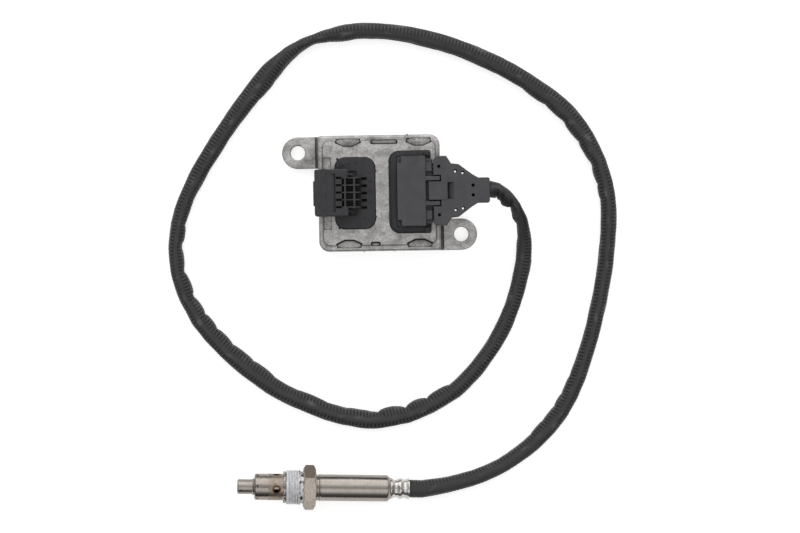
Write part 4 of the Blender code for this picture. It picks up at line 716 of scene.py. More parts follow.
def add_cable():
    """The wrapped cable, lying in one loose turn round the control unit and back to the probe's collar."""
    line, length = cable_line()
    rings, grooves, wear_and_highlight = [], [], []
    station = 0.0
    for i, centre in enumerate(line):
        before, after = line[max(i - 1, 0)], line[min(i + 1, len(line) - 1)]
        if i:
            station += (centre - line[i - 1]).length
        along = (after - before).normalized()
        inner = along.cross(UP).normalized()
        up = inner.cross(along)
        inside, outside = wrap_reach(station)
        half_height = min(CABLE_HALF_HEIGHT, CABLE_FLATNESS / (inside + outside))
        near_end = min(1.0, min(station, length - station) / 8 + 0.15)
        ring = []
        for k in range(CABLE_SIDES):
            angle = TAU * k / CABLE_SIDES
            stand, painted_groove_shade, worn_and_highlit = wrap_point(station, angle)
            stand *= near_end
            across = inner * ((inside if math.cos(angle) > 0 else outside) + stand) * math.cos(angle)
            point = centre + across + up * (half_height + min(stand, 0.2)) * math.sin(angle)
            point.z = max(point.z, CABLE_OVER_FLOOR)
            ring.append(point)
            grooves.append(painted_groove_shade)
            wear_and_highlight.append(worn_and_highlit)
        rings.append(ring)
    wrap = skinned("wrapped_cable", rings)
    # Painted shade for the grooves and folds, kept on the wrap's points.
    store(wrap.data, "painted_groove_shade", grooves)
    # Real wear together with painted highlight, kept on the wrap's points.
    store(wrap.data, "worn_and_highlit", wear_and_highlight)
    cable = piece(wrap, wrap_fabric(), "sensor", ["cable_sleeve"], 80.0, False)


# Control unit

def housing_outline(inset):
    x, y = HALF_X - inset, HALF_Y - inset
    large, small = max(5.8 - inset, 0.4), max(1.8 - inset, 0.4)
    return rectangle(-x, x, -y, y, (large, small, large, small), 8)


def flange_outline(header, inset):
    """Outline of a header's flange, moved inwards."""
    if header == "vehicle":
        left, right, half, corner = VEHICLE_FLANGE
        return rectangle(left + inset, right - inset, inset - half, half - inset, corner - inset, 8)
    left, right, half, corner = SENSOR_FLANGE
    corner, small = corner - inset, max(1.0 - inset, 0.3)
    return rectangle(left + inset, right - inset, PLUG_Y - half + inset, PLUG_Y + half - inset,
                     (small, corner, corner, small), 8)


def ear(side):
    turn = 90 if side < 0 else -90
    round_end = arc(side * EAR_X, -side * EAR_Y, EAR_RADIUS, turn, turn + 180, 28)
    root = side * (HALF_X - 1.2)
    outline = [(root, round_end[0][1]), *round_end, (root, round_end[-1][1])]
    return loft("ear", outline, rounded(0, EAR_HEIGHT, 0.3, 0.7, 4))


def housing_pockets():
    """Cutters of the pockets in the plateau's front and rear edges: two alike in each, and one that is a plain slot."""
    lower = [(POCKET_FLOOR, 0.8), (POCKET_FLOOR + 0.1, 0.65)]
    upper = [(PLATEAU_TOP - 0.3, 0.0), (PLATEAU_TOP - 0.1, -0.1), (PLATEAU_TOP, -0.35), (40, -0.35)]
    pockets = []
    for side in SIDES:
        for middle in POCKET_MIDDLES:
            half = [(POCKET_HALF, 1.5), (POCKET_HALF, 4.4), (2.6, 6.6)]
            outline = [(middle - x, side * (HALF_Y - y)) for x, y in half]
            outline += [(middle + x, side * (HALF_Y - y)) for x, y in reversed(half)]
            pockets.append(loft("pocket", outline, [(z, inset + 0.2) for z, inset in lower] + upper))
    for name, left, right, front, rear in (("slot_pocket", -4.6, 10.6, HALF_Y - 5.3, HALF_Y - 2.3),
                                           ("notch_pocket", -5.2, 0.3, 2.3 - HALF_Y, 5.1 - HALF_Y)):
        pockets.append(loft(name, rectangle(left, right, front, rear, 0.8, 3), lower + upper))
    return pockets


def pocket_steps():
    """The steps on the floors of the pockets in the plateau's edges."""
    steps = []
    for side in SIDES:
        for middle in POCKET_MIDDLES:
            for half, deep, rise in ((5.4, 1.9, 0.25), (3.4, 1.1, 0.5)):
                rim, inner = side * (HALF_Y - 2.1), side * (HALF_Y - 2.8 - deep)
                outline = [(middle - half, rim), (middle - half * 0.55, inner), (middle + half * 0.55, inner),
                           (middle + half, rim)]
                steps.append(loft("pocket_step", outline,
                                  rounded(POCKET_FLOOR - 0.5, POCKET_FLOOR + rise, 0, 0.15, 2)))
    return steps


def add_housing():
    """The cast upper housing with its rim, plateau, ears, and the pockets cast into the plateau's edges."""
    housing = loft("cast_housing", housing_outline(0), rounded(0, RIM_TOP, 0.3, 1.5, 5))
    plateau_levels = [(RIM_TOP - 1.0, -0.35), (RIM_TOP, -0.35), (RIM_TOP + 0.1, -0.16), (RIM_TOP + 0.32, 0.0)]
    plateau = loft("plateau", rectangle(2.7 - HALF_X, HALF_X - 2.7, 3.3 - HALF_Y, HALF_Y - 3.3, 4.0, 8),
                   plateau_levels + rounded(RIM_TOP, PLATEAU_TOP, 0, 0.35)[1:])
    holes = [loft("ear_hole", arc(side * EAR_X, -side * EAR_Y, EAR_HOLE, 2, 362, 48)[:-1],
                  [(-2, 0), (EAR_HEIGHT - 0.4, 0), (EAR_HEIGHT + 1, -1.4)]) for side in SIDES]
    grooves = []
    for side in SIDES:
        near, far = sorted((side * (HALF_X - 0.05), side * (HALF_X + 1.9)))
        front, rear = -side * EAR_Y - 18, -side * EAR_Y + 18
        grooves.append(loft("ear_groove", [(near, front), (far, front), (far, rear), (near, rear)],
                            [(EAR_HEIGHT - 0.8, 0.75), (EAR_HEIGHT - 0.15, 0.1), (EAR_HEIGHT + 1, -0.3)]))
    cavity = loft("cavity", housing_outline(2.4), [(-2, 0), (PLATEAU_TOP - HOUSING_ROOF, 0)])
    rebate = loft("rebate", housing_outline(1.2), [(-2, 0), (2.2, 0)])
    recesses = [loft(f"{header}_recess", flange_outline(header, -0.3), opening(RECESS_FLOOR, PLATEAU_TOP, 0, 0.25))
                for header in ("vehicle", "sensor")]
    windows = [loft(f"{header}_window", flange_outline(header, 1.6), [(9, 0), (22, 0)])
               for header in ("vehicle", "sensor")]
    side_recess = loft("side_recess", rectangle(2.9 - HALF_X, 7.4 - HALF_X, -20.3, 20.3, 0.6, 3),
                       opening(PLATEAU_TOP - 0.5, PLATEAU_TOP, 0.15, 0.12))
    nubs = [loft("seam_nub", circle(x, y, 0.55, 8), rounded(RIM_TOP - 1.5, RIM_TOP - 0.2, 0, 0.2, 2))
            for x, y in ((-9.0, -HALF_Y - 0.1), (8.0, -HALF_Y + 0.05), (16.0, HALF_Y))]
    shaped(housing, [plateau, ear(-1), ear(1), *nubs],
           [*holes, *grooves, cavity, rebate, *recesses, *windows, *housing_pockets(), side_recess])
    shaped(housing, pocket_steps())

    def is_pocket_wall(face):
        return (abs(face.normal.z) < 0.8 and POCKET_FLOOR - 0.1 < face.center.z < PLATEAU_TOP - 0.22
                and abs(face.center.x) < HALF_X - 2 and abs(face.center.y) < HALF_Y - 1.52)

    # Painted shade: marks the pockets' steep walls, which the casting's material colours dark.
    store(housing.data, "wall", [0.85 if is_pocket_wall(face) else 0.0 for face in housing.data.polygons], "FACE")
    piece(housing, cast_aluminium(), "sensor", ["upper_housing"])


def flange_nubs(places, top):
    """Small half-round nubs on a flange's edge, left by the mould's gates and pins."""
    return [loft("flange_nub", circle(x, y, 0.75, 12), rounded(FLANGE_UNDER + 0.4, top, 0, 0.25, 2))
            for x, y in places]


def spigot(header):
    """The lower part of a header, which stands in the housing's window."""
    return loft("spigot", flange_outline(header, 1.9), [(FLANGE_UNDER - 3.4, 0), (FLANGE_UNDER + 0.8, 0)])


def add_vehicle_header(black):
    """The header for the vehicle's plug: flange, socket shroud open to the left, and a lattice over the pins."""
    header = loft("vehicle_socket", flange_outline("vehicle", 0), rounded(FLANGE_UNDER, FLANGE_TOP, 0, 0.4))
    shroud = block("shroud", (SHROUD_LEFT, -SHROUD_HALF, SHROUD_BOTTOM), (SHROUD_RIGHT, SHROUD_HALF, SHROUD_TOP), 0.7,
                   1.1)
    pedestal = box_cutter("pedestal", (-21.9, -SHROUD_HALF + SHROUD_WALL, HEADER_ROOT),
                          (SHROUD_RIGHT - 0.8, SHROUD_HALF - SHROUD_WALL, SHROUD_BOTTOM + 0.9))
    band = block("shroud_band", (-32.0, -SHROUD_HALF - 0.25, SHROUD_BOTTOM + 2.0),
                 (-29.4, SHROUD_HALF + 0.25, SHROUD_TOP + 0.12), 0.2)
    lattice = block("lattice", (SHROUD_RIGHT - SHROUD_WALL, PIN_ROWS[0] - LATTICE_RIB / 2, HEADER_ROOT),
                    (LATTICE_RIGHT, PIN_ROWS[-1] + LATTICE_RIB / 2, LATTICE_TOP), 0.2)
    ears = boxes(block, "shroud_buttress", (SHROUD_RIGHT - 1.5, SHROUD_RIGHT + 2.6), (-BUTTRESS_Y, BUTTRESS_Y), 1.0,
                 (HEADER_ROOT, 24.0), 0.5)
    hollows = [loft("buttress_hollow", rectangle(SHROUD_RIGHT + 0.2, SHROUD_RIGHT + 4.6, y - 1.6, y + 1.6, 0.8, 3),
                    opening(FLANGE_TOP - 1.2, FLANGE_TOP, 0.3)) for y in (-11.0, 11.0)]
    lip = block("mouth_lip", (SHROUD_LEFT - 1.2, -7.0, SHROUD_BOTTOM + 0.3), (SHROUD_LEFT + 1.8, 7.0, 18.4), 0.25)
    cells = [
        loft("cell", rectangle(left, right, low + LATTICE_RIB / 2, high - LATTICE_RIB / 2, 0.2, 2),
             opening(floor, LATTICE_TOP, 0.2, 0.12))
        for low, high in zip(PIN_ROWS, PIN_ROWS[1:]) for left, right, floor in LATTICE_CELLS
    ]
    slots = boxes(box_cutter, "slot", (-24.0, -20.7), PIN_ROWS, 0.6, (SHROUD_TOP - 6, SHROUD_TOP + 3))
    slots += boxes(box_cutter, "flange_slot", (-9.8, -7.0), PIN_ROWS, 0.75, (FLANGE_TOP - 5.5, FLANGE_TOP + 6))
    slope = prism("shroud_slope", [(-27.2, SHROUD_TOP + 0.01), (-24.3, SHROUD_TOP - 1.2), (-24.3, 40), (-27.2, 40)],
                  2.5 - SHROUD_HALF, SHROUD_HALF - 2.5)
    fins = [prism("rib_end", [(LATTICE_RIGHT - 1, 16), (LATTICE_RIGHT + 1.6, 16), (LATTICE_RIGHT + 1.4, 21),
                              (LATTICE_RIGHT - 0.1, LATTICE_TOP - 0.2), (LATTICE_RIGHT - 1, LATTICE_TOP - 0.2)],
                  y - LATTICE_RIB / 2, y + LATTICE_RIB / 2) for y in PIN_ROWS]
    socket = box_cutter("socket", (SHROUD_LEFT - 3, SHROUD_WALL - SHROUD_HALF, SHROUD_BOTTOM + SHROUD_WALL),
                        (SOCKET_END, SHROUD_HALF - SHROUD_WALL, SHROUD_TOP - SHROUD_WALL))
    slack = 0.75
    channels = boxes(box_cutter, "pin_channel", (SOCKET_END - 0.3, PIN_FOOT + slack), PIN_ROWS, slack,
                     (PIN_HEIGHT - slack, PIN_HEIGHT + slack))
    drops = boxes(box_cutter, "pin_drop", (PIN_FOOT - slack, PIN_FOOT + slack), PIN_ROWS, slack, (8, PIN_HEIGHT))
    latch = [loft("latch_wedge", [(-17.6, side * 8.8), (-15.9, side * BUTTRESS_Y), (-17.6, side * 11.0)],
                  rounded(22, 27.5, 0, 0.3, 2)) for side in SIDES]
    marks = [block("moulded_bar", (-22.3, 15.6, 16.2), (-19.6, 16.5, FLANGE_TOP + 0.5), 0.2),
             block("moulded_key", (-22.0, 14.2, 16.2), (-21.0, 17.6, FLANGE_TOP + 0.7), 0.2)]
    dimples = [loft("ejector_ring", circle(x, y, 0.9, 16), opening(FLANGE_TOP - 0.35, FLANGE_TOP, 0.1, 0.1))
               for x, y in ((-17.2, 16.2), (-12.6, 16.3), (-5.0, 6.0), (-5.0, 0.4), (-5.0, -5.6), (-8.5, -14.6))]
    nubs = flange_nubs([(-23.3, 19.3), (-10.1, 19.6), (-2.2, 12.3), (-2.2, -13.4), (-9.4, -19.6), (-22.6, -19.5)],
                       FLANGE_TOP - 0.2)
    shaped(header, [spigot("vehicle"), shroud, band, pedestal, lattice, *ears, lip, *fins, *latch, *marks, *nubs],
           [socket, slope, *hollows, *cells, *slots, *channels, *drops, *dimples])
    piece(header, black, "sensor", ["vehicle_header"])


def about_plug(distance):
    """The two places at a distance from the plug's middle."""
    return PLUG_Y - distance, PLUG_Y + distance


def add_sensor_header(black):
    """The frame that the sensor's plug stands in."""
    header = loft("sensor_frame", flange_outline("sensor", 0), rounded(FLANGE_UNDER, FLANGE_TOP, 0, 0.35))
    wall = loft("frame_wall", flange_outline("sensor", 0.9), rounded(FLANGE_UNDER + 0.3, FRAME_TOP, 0, 0.5))
    pocket = box_cutter("plug_pocket", (PLUG_LEFT - 0.3, PLUG_Y - PLUG_HALF - 0.3, FLANGE_TOP),
                        (PLUG_RIGHT + 0.3, PLUG_Y + PLUG_HALF + 0.3, 40))
    holes = boxes(box_cutter, "pin_hole", WIRE_PIN_X, WIRE_ROWS, 0.7, (8, 17))
    nubs = flange_nubs([(5.9, 14.8), (5.9, -14.9), (27.9, 23.0), (27.9, -22.4), (13.2, -22.5)], FLANGE_TOP - 0.1)
    posts = boxes(block, "corner_post", (25.2, 28.4), about_plug(21.2), 1.4, (15.5, 20.2), 0.5)
    shaped(header, [wall, spigot("sensor"), *nubs, *posts], [pocket, *holes])
    piece(header, black, "sensor", ["sensor_header"])


def add_plug(charcoal):
    """The sensor's plug: a satin block with two notched corners, and the guard bars of its latch on the right."""
    plug = block("sensor_plug_body", (PLUG_LEFT, PLUG_Y - PLUG_HALF, PLUG_UNDER),
                 (PLUG_RIGHT, PLUG_Y + PLUG_HALF, PLUG_TOP), 0.5, 0.8)
    notches = boxes(box_cutter, "notch", (PLUG_LEFT - 1, PLUG_LEFT + 2.4), about_plug(18.1), 2.2,
                    (PLUG_TOP - NOTCH_DEPTH, 40))
    step = block("plug_step", (PLUG_RIGHT - 1.2, PLUG_Y - 18.0, COVER_BOTTOM), (STEP_RIGHT, PLUG_Y + 18.0, STEP_TOP),
                 0.4)
    ribs = boxes(block, "step_rib", (PLUG_RIGHT - 1.0, STEP_RIGHT - 0.2), about_plug(13.4), 2.6,
                 (STEP_TOP - 1.0, STEP_TOP + 1.6), 0.4)
    bars, feet = [], []
    for side in SIDES:
        inner, outer = sorted((PLUG_Y + side * BAR_INNER, PLUG_Y + side * BAR_OUTER))
        bars.append(block("guard_bar", (PLUG_RIGHT - 1.2, inner, 26.3), (34.0, outer, 28.6), 0.4))
        feet.append(box_cutter("guard_bar_foot", (PLUG_RIGHT - 0.6, inner + 0.3, 23.0), (29.5, outer - 0.3, 27.6)))
    channels = boxes(box_cutter, "contact_channel", (14.7, 34.0), WIRE_ROWS, 1.2, (22.2, 24.6))
    shafts = boxes(box_cutter, "pin_shaft", WIRE_PIN_X, WIRE_ROWS, 0.7, (16, 23.4))
    lines = [box_cutter("lid_line", (14.6, y - 0.9, PLUG_TOP - 0.5), (22.0, y + 0.5, 40)) for y in about_plug(19.6)]
    shaped(plug, [step, *ribs, *bars, *feet], [*notches, *lines, *channels, *shafts])
    piece(plug, charcoal, "sensor", ["sensor_plug"])


def cover_outline(inset):
    """The Y-shaped cover, from the plug to its neck's end and back."""
    wide, waist, neck = 19.3 - inset, 15.1 - inset, 7.0 - inset
    half = [
        (COVER_START, wide - 2.0), (COVER_START + 2.0, wide), (COVER_START + 7.4, wide), (40.2, waist),
        (44.4, waist - 0.5), (51.8, neck + 2.0), (55.2, neck), (COVER_END - 0.7, neck), (COVER_END, neck - 0.7),
    ]
    return [(x, PLUG_Y - y) for x, y in half] + [(x, PLUG_Y + y) for x, y in reversed(half)]


def add_cover(charcoal):
    """The cover over the wires, with its latch tongue, sight holes and neck."""
    cover = loft("wire_cover_shell", cover_outline(0), rounded(COVER_BOTTOM, COVER_TOP, 0.4, 0.5))
    ends = {COVER_START: COVER_START - 1.4, COVER_END: COVER_END + 1.4}
    hollow = loft("hollow", [(ends.get(x, x), y) for x, y in cover_outline(COVER_WALL)],
                  [(COVER_BOTTOM + COVER_WALL, 0), (COVER_TOP - COVER_WALL, 0)])
    window = box_cutter("window", (COVER_START - 1, PLUG_Y - 8.8, 24.9), (34.6, PLUG_Y + 8.8, 40))
    tongue = block("tongue", (27.6, PLUG_Y - TONGUE_HALF, 26.8), (38.1, PLUG_Y + TONGUE_HALF, COVER_TOP + 0.25), 0.25)
    ramp_floor = box_cutter("ramp_floor", (37.4, PLUG_Y - 5.6, 24.8), (42.6, PLUG_Y + 5.6, COVER_TOP - 0.6))
    ramp_pit = prism("tongue_ramp", [(38.12, 26.4), (41.6, 28.5), (41.6, 40), (38.12, 40)], *about_plug(4.7))
    ledge = COVER_BOTTOM + 3.0
    sight = [loft("sight_hole", circle(x, y, SIGHT_RADIUS, 20), [(0, 0.4), (ledge, 0.4), (ledge, 0), (50, 0)])
             for x, aside in ((42.6, 10.8), (46.7, 9.9)) for y in about_plug(aside)]
    blind = [loft("blind_hole", circle(x, y, SIGHT_RADIUS, 20), [(ledge, 0), (50, 0)])
             for x, aside in ((33.4, 13.5), (52.3, 2.7)) for y in about_plug(aside)]
    shaped(cover, [], [hollow, window, *sight, *blind])
    shaped(cover, [tongue, ramp_floor], [ramp_pit])
    piece(cover, charcoal, "sensor", ["wire_cover"])


# Probe

def ring_holes(count, turn, distance, station, radius):
    holes = []
    for i in range(count):
        angle = turn + TAU * i / count
        out = Vector((math.cos(angle), math.sin(angle), 0)) * distance
        level = Vector((0, 0, station))
        holes.append(rod_cutter("gas_hole", radius, level + out * 0.6, level + out * 1.4, 20))
    return holes


def add_tip_tube(steel):
    """The inner protection tube: a drawn cup with a hole in its rounded front and a bead before the outer tube."""
    flange = 24.4
    front = [(TIP_RADIUS - 1.0 + x, 1.0 + y) for x, y in arc(0, 0, 1.0, 0, -90, 6)]
    outer = [(SHELL_RADIUS, flange), (SHELL_RADIUS, flange - 0.5), (TIP_RADIUS, flange - 0.5), (TIP_RADIUS, 9.5),
             (TIP_RADIUS + 0.45, 9.4), (TIP_RADIUS + 0.6, 9.1), (TIP_RADIUS + 0.45, 8.8), (TIP_RADIUS, 8.5),
             (TIP_RADIUS, 7.9), (TIP_RADIUS - 0.08, 7.6), (TIP_RADIUS - 0.05, 1.6), *front]
    inner = [(1.2, 0.0), (1.2, 0.5), (TIP_RADIUS - 0.5, 1.0), (TIP_RADIUS - 0.5, flange)]
    tip = turned("inner_tube", outer, inner)
    side_hole = rod_cutter("tip_hole", 0.45, (2.0, 0.9, 2.1), (6.0, 2.7, 2.1), 16)
    shaped(tip, [], [*ring_holes(6, 0.03, TIP_RADIUS, 17.6, 0.55), side_hole])
    probe_piece(tip, steel, "sensor", ["tip_tube"], "stainless", 40.0)


def add_outer_tube():
    """The outer protection tube, welded round behind its front third."""
    def weld(station, angle):
        ridge = math.exp(-((station - WELD_AT) / 0.45) ** 2) * 0.16
        return ridge * (1 + 0.3 * math.sin(angle * 22)) - math.exp(-((station - WELD_AT + 0.8) / 0.2) ** 2) * 0.08

    front = [(OUTER_RADIUS - 0.9 + x, OUTER_START + 0.9 + y) for x, y in arc(0, 0, 0.9, 0, -90, 5)]
    outer = fine_profile([(OUTER_RADIUS, OUTER_END), (OUTER_RADIUS, OUTER_START + 0.95)], 0.25) + front
    inner = [(TIP_RADIUS + 0.3, OUTER_START), (TIP_RADIUS + 0.3, OUTER_START + 0.5),
             (OUTER_RADIUS - 0.9, OUTER_START + 0.5), (OUTER_RADIUS - 0.5, OUTER_START + 0.9),
             (OUTER_RADIUS - 0.5, OUTER_END)]
    tube = turned("outer_protection_tube", outer, inner, detail=weld)
    shaped(tube, [], [*ring_holes(6, SMALL_HOLE_TURN, OUTER_RADIUS, SMALL_HOLE_AT, 0.75),
                      *ring_holes(4, LARGE_HOLE_TURN, OUTER_RADIUS, LARGE_HOLE_AT, 1.7)])

    def scorch(co):
        """One at a large hole's edge, falling to none a few millimetres away."""
        angle = math.atan2(co.y, co.x) - LARGE_HOLE_TURN
        angle = (angle + math.pi / 4) % (math.pi / 2) - math.pi / 4
        away = math.hypot(angle * OUTER_RADIUS, co.z - LARGE_HOLE_AT)
        return max(0.0, min(1.0, (3.1 - away) / 1.7))

    def soot(co):
        """All of the bore, and none of the outside."""
        return 1.0 if math.hypot(co.x, co.y) < OUTER_RADIUS - 0.35 and co.z > OUTER_START + 0.1 else 0.0

    probe_piece(tube, tinted_tube(), "sensor", ["outer_tube"], "stainless", 40.0, scorch=scorch, soot=soot)


def add_probe_body(steel):
    """The shell's seat: a flange with notches round its rim, which the screw presses on the boss."""
    def notches(station, angle):
        if not SEAT_START < station < SEAT_END - 0.1:
            return 0
        return -0.5 if (angle * 14 / TAU) % 1 < 0.28 else 0

    outer = fine_profile([(SHELL_RADIUS, 50.0), (SHELL_RADIUS, SEAT_END)], 4)
    outer += fine_profile([(8.6, SEAT_END), (9.0, 26.9), (9.0, 26.1), (8.7, SEAT_START)], 0.5)
    outer += [(SHELL_RADIUS, SEAT_START), (SHELL_RADIUS, 25.2)]
    inner = [(3.6, 25.2), (3.6, 26.5), (4.7, 26.5), (4.7, 50.0)]
    body = turned("probe_shell", outer, inner, 140, notches)
    probe_piece(body, steel, "sensor", ["probe_body"], "stainless", 40.0)


def add_union_screw():
    """The loose screw: an M20 thread filled with paste, a relief neck and a hexagon."""
    def thread(station, angle):
        inside = min(1.0, (station - THREAD_START) / 0.8, (THREAD_END - station) / 0.6)
        if inside <= 0:
            return 0.0
        phase = ((station / THREAD_PITCH - angle / TAU) % 1.0) * 2 - 1
        return -THREAD_DEPTH * inside * (1 - abs(phase)) ** 0.8 - 0.02

    outer = fine_profile([(NECK_RADIUS, HEX_START + 3.0), (NECK_RADIUS, 35.6), (THREAD_RADIUS, THREAD_END),
                          (THREAD_RADIUS, THREAD_START + 0.7), (9.3, THREAD_START)], 0.17)
    inner = [(BORE_RADIUS + 0.05, THREAD_START), (BORE_RADIUS + 0.05, HEX_START + 3.0)]
    screw = turned("thread_and_neck", outer, inner, detail=thread)
    corner = HEX_HALF / math.cos(math.pi / 6)
    hexagon = loft("hexagon", arc(0, 0, corner, 30, 330, 5), [(HEX_START, 0), (HEX_END, 0)])
    outside = turned("hexagon_chamfer",
                     [(10.6, HEX_END + 0.01), (corner + 0.1, HEX_END - 1.3), (corner + 0.1, HEX_START + 1.3),
                      (10.6, HEX_START - 0.01)],
                     [(BORE_RADIUS, HEX_START - 0.01), (BORE_RADIUS, HEX_END + 0.01)])
    shaped(hexagon, keep=[outside])
    shaped(screw, [hexagon])

    def paste(co):
        """Full in the thread, in torn patches on the neck and none on the hexagon."""
        if math.hypot(co.x, co.y) > THREAD_RADIUS + 0.05 or co.z > HEX_START:
            return 0.0
        if co.z < THREAD_END - 0.4:
            return 1.0
        angle = math.atan2(co.y, co.x)
        torn = noise.noise(Vector((math.cos(angle) * 6, math.sin(angle) * 6, co.z * 0.6)))
        return max(0.0, min(1.0, 0.75 + 3.5 * torn))

    def root(co):
        """How dark a point is, all painted shade: in the thread's grooves, and in patches on the neck between the
        thread and the hexagon.
        """
        angle = math.degrees(math.atan2(co.y, co.x))
        if THREAD_START + 0.6 < co.z < THREAD_END:
            streak = 0.34 + 0.3 * noise.noise(Vector((angle * 0.05, co.z * 0.4, 3)))
            return max(0.0, min(1.0, (9.75 - math.hypot(co.x, co.y)) / 0.6)) * streak
        if THREAD_END < co.z < HEX_START and math.hypot(co.x, co.y) < THREAD_RADIUS:
            for middle, half, station in ((-53, 7, 36.1), (38, 10, 36.0), (128, 8, 36.1), (-140, 9, 36.0)):
                away = math.hypot((angle - middle) / half, (co.z - station) / 0.9)
                if away < 1:
                    return 0.95 * (1 - away ** 4)
        return 0.0

    def facet_shade(face):
        """Painted shade and light by the side that a facet faces, and painted shade on the recessed neck."""
        on_neck = face.center.z < HEX_START and math.hypot(*face.center.xy) < THREAD_RADIUS
        return max(0.3 * face.normal.y, -1.15 * face.normal.y) + (0.5 if on_neck else 0.0)

    store(screw.data, "facet_shade", [facet_shade(face) for face in screw.data.polygons], "FACE")
    probe_piece(screw, pasted_steel(), "union_screw", ["union_screw"], "steel_matt", 30.0, paste=paste, root=root)


def add_protective_sleeve(steel):
    """The long drawn sleeve with its locking ring at the hexagon, and the collar crimped on the cable's grommet."""
    def crimps(station, angle):
        """The jaws' marks on the collar, and the slots of the locking ring."""
        for middle, turn in CRIMPS:
            away = abs(station - middle) / CRIMP_HALF
            if away < 1:
                jaw = max(0.0, math.cos(4 * (angle + turn))) ** 0.7
                return -0.42 * jaw * (1 - away ** 3)
        slotted = 45.0 < station < 45.85 and (angle * 6 / TAU) % 1 < 0.22
        return -0.35 if slotted else 0.0

    def collar_radius(station):
        share = (station - COLLAR_START) / (PROBE_LENGTH - COLLAR_START)
        return 5.55 + 0.42 * math.cos(4 * math.pi * share)

    collar = [(collar_radius(s), s) for s in (PROBE_LENGTH - 0.2 * i for i in range(52))]
    shoulder = [(5.9, 86.6), (6.0, 86.2), (6.6, 85.6), (7.1, 85.1), (7.35, SLEEVE_END), (SLEEVE_RADIUS, 84.2)]
    shank = fine_profile([(SLEEVE_RADIUS, 84.0), (SLEEVE_RADIUS, 47.2)], 3.0)
    ring = [(SLEEVE_RADIUS, 47.0), (7.62, 46.7), (7.66, 46.4), (7.5, 46.0), (7.2, 45.85), (7.1, 45.4), (7.2, 45.0),
            (7.5, 44.85), (7.5, SLEEVE_START)]
    inner = [(6.95, SLEEVE_START), (6.95, 84.3), (4.8, COLLAR_START), (4.8, PROBE_LENGTH)]
    sleeve = turned("crimped_sleeve", collar + shoulder + shank + fine_profile(ring, 0.2), inner, detail=crimps)
    probe_piece(sleeve, steel, "sensor", ["protective_sleeve"], "stainless", 50.0)


# Materials of the solids that stay as they are

def dress_frame():
    """Gives every solid that shows as it is a material of its own kind."""
    kinds = {
        # Cool grey with a faint spangle and a soft shine
        "zinc": plain_grain("Zinc-plated steel sheet", "#A9ABAE", "#BEC0C2", 5.0, 0.36, 0.02, 1.0, 0.06, 2.0),
        "sealant": plain_grain("Silicone sealant", "#55575A", "#606265", 1.5, 0.6),
        "rubber": plain_grain("Fluoroelastomer seal", "#26221F", "#312C28", 0.8, 0.7),
        "board": plain_grain("Solder-masked laminate", "#1B5535", "#22643F", 2.5, 0.42),
        "chip": plain_grain("Epoxy chip moulding", "#1A1A1C", "#222224", 0.5, 0.6),
        "tin": plain_grain("Tin-plated can", "#C2C2BF", "#D0D0CD", 1.5, 0.27, 0.004, metallic=1.0),
        "ferrite": plain_grain("Sintered ferrite", "#333337", "#404045", 0.6, 0.7),
        "brass": plain_grain("Tinned brass", "#BFB69C", "#D1C9B2", 1.0, 0.3, 0.004, metallic=1.0),
        "zirconia": plain_grain("Fired zirconia", "#DDD8CA", "#E9E4D8", 1.0, 0.5),
        "steatite": plain_grain("Fired steatite", "#E8E6DE", "#F3F1EB", 1.2, 0.6),
        "talc": plain_grain("Pressed talc", "#D4D0C5", "#E2DED5", 0.5, 0.9),
        "black wire": plain_grain("Black wire insulation", "#19191A", "#252527", 1.2, 0.45),
        "red wire": plain_grain("Dark red wire insulation", "#63201C", "#742A24", 1.2, 0.45),
    }
    wanted = {
        "base_plate": "zinc", "circuit_board": "board", "coil_inductor": "ferrite", "ceramic_element": "zirconia",
        "talc_packing": "talc",
        **dict.fromkeys(("base_gasket", "vehicle_header_seal", "sensor_header_seal"), "sealant"),
        **dict.fromkeys(("processor_chip", "driver_chip"), "chip"),
        **dict.fromkeys(("crystal", "capacitor_1", "capacitor_2"), "tin"),
        **dict.fromkeys(("plug_seal", "grommet"), "rubber"),
        **dict.fromkeys(("front_insulator", "rear_insulator", "contact_holder"), "steatite"),
        **{f"vehicle_pin_{i}": "brass" for i in range(1, 6)},
        **{f"sensor_pin_{i}": "brass" for i in range(1, 9)},
        **{f"probe_lead_{i}": "black wire" for i in range(1, 9)},
        **{f"plug_lead_{i}": "red wire" if i == 7 else "black wire" for i in range(1, 9)},
    }
    for name, kind in wanted.items():
        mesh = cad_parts[name].data
        mesh.materials.clear()
        mesh.materials.append(kinds[kind])


# Studio

def add_floor():
    made = bmesh.new()
    bmesh.ops.create_grid(made, x_segments=1, y_segments=1, size=4.0)
    floor = linked("paper_floor", made)
    floor.data.materials.append(floor_paper())


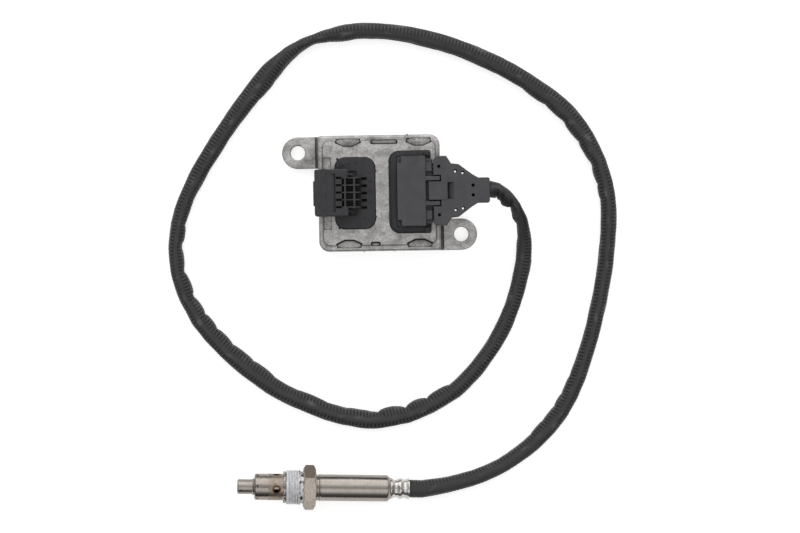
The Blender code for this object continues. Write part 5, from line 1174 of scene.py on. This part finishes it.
def add_studio_light():
    """A dome painted as long soft boxes over the object: bright on the far side, weaker on the near side."""
    world = bpy.data.worlds.new("studio")
    world.use_nodes = True
    bpy.context.scene.world = world
    tree = world.node_tree
    tree.nodes.clear()
    place = node(tree, "ShaderNodeTexCoord", out="Generated")
    place = node(tree, "ShaderNodeSeparateXYZ", [place], None)
    turn = node(tree, "ShaderNodeMath", (place["Y"], place["Z"]), operation="ARCTAN2")
    share = node(tree, "ShaderNodeMapRange", (turn, math.radians(-DOME_END), math.radians(DOME_END)))
    # Each band's angle from straight up, towards the far side, and its brightness
    levels = (
        (-DOME_END, 0.55), (-104, 0.18), (-98, 0.06), (-60, 0.1), (-46, 0.36), (-36, 0.75), (-30, 1.05), (-8, 1.05),
        (-3, 0.75), (2, 0.38), (9, 0.5), (13, 0.72), (26, 0.85), (34, 1.38), (60, 1.45), (78, 1.75), (88, 1.0),
        (94, 0.12), (101, 0.12), (DOME_END, 0.65),
    )
    bands = node(tree, "ShaderNodeValToRGB", [share],
                 stops=[((angle + DOME_END) / (2 * DOME_END), level / DOME_TOP) for angle, level in levels])
    aside = node(tree, "ShaderNodeMath", [place["X"]], operation="ABSOLUTE")
    fade = node(tree, "ShaderNodeMapRange", (aside, 0.35, 0.9, DOME_TOP, DOME_TOP * 0.3))
    dome = node(tree, "ShaderNodeBackground", (bands, fade))
    seen = node(tree, "ShaderNodeBackground", ("#FFFFFF", 1.0))
    path = node(tree, "ShaderNodeLightPath", out=None)
    shader = node(tree, "ShaderNodeMixShader", (path["Is Camera Ray"], dome, seen))
    node(tree, "ShaderNodeOutputWorld", [shader])


def main():
    bpy.context.scene.view_settings.view_transform = "Standard"
    add_camera()
    add_cable()
    black = polyamide("Black moulded polyamide", "#333336", "#3E3E41", 0.7, 0.45)
    charcoal = polyamide("Charcoal moulded polyamide", "#4A4A4D", "#545457", 0.6, 0.5)
    drawn = stainless("Drawn stainless steel", 0.19)
    add_housing()
    add_vehicle_header(black)
    add_sensor_header(black)
    add_plug(charcoal)
    add_cover(charcoal)
    add_tip_tube(stainless("Tumbled stainless steel", 0.29))
    add_outer_tube()
    add_probe_body(drawn)
    add_union_screw()
    add_protective_sleeve(drawn)
    dress_frame()
    add_floor()
    add_studio_light()


main()
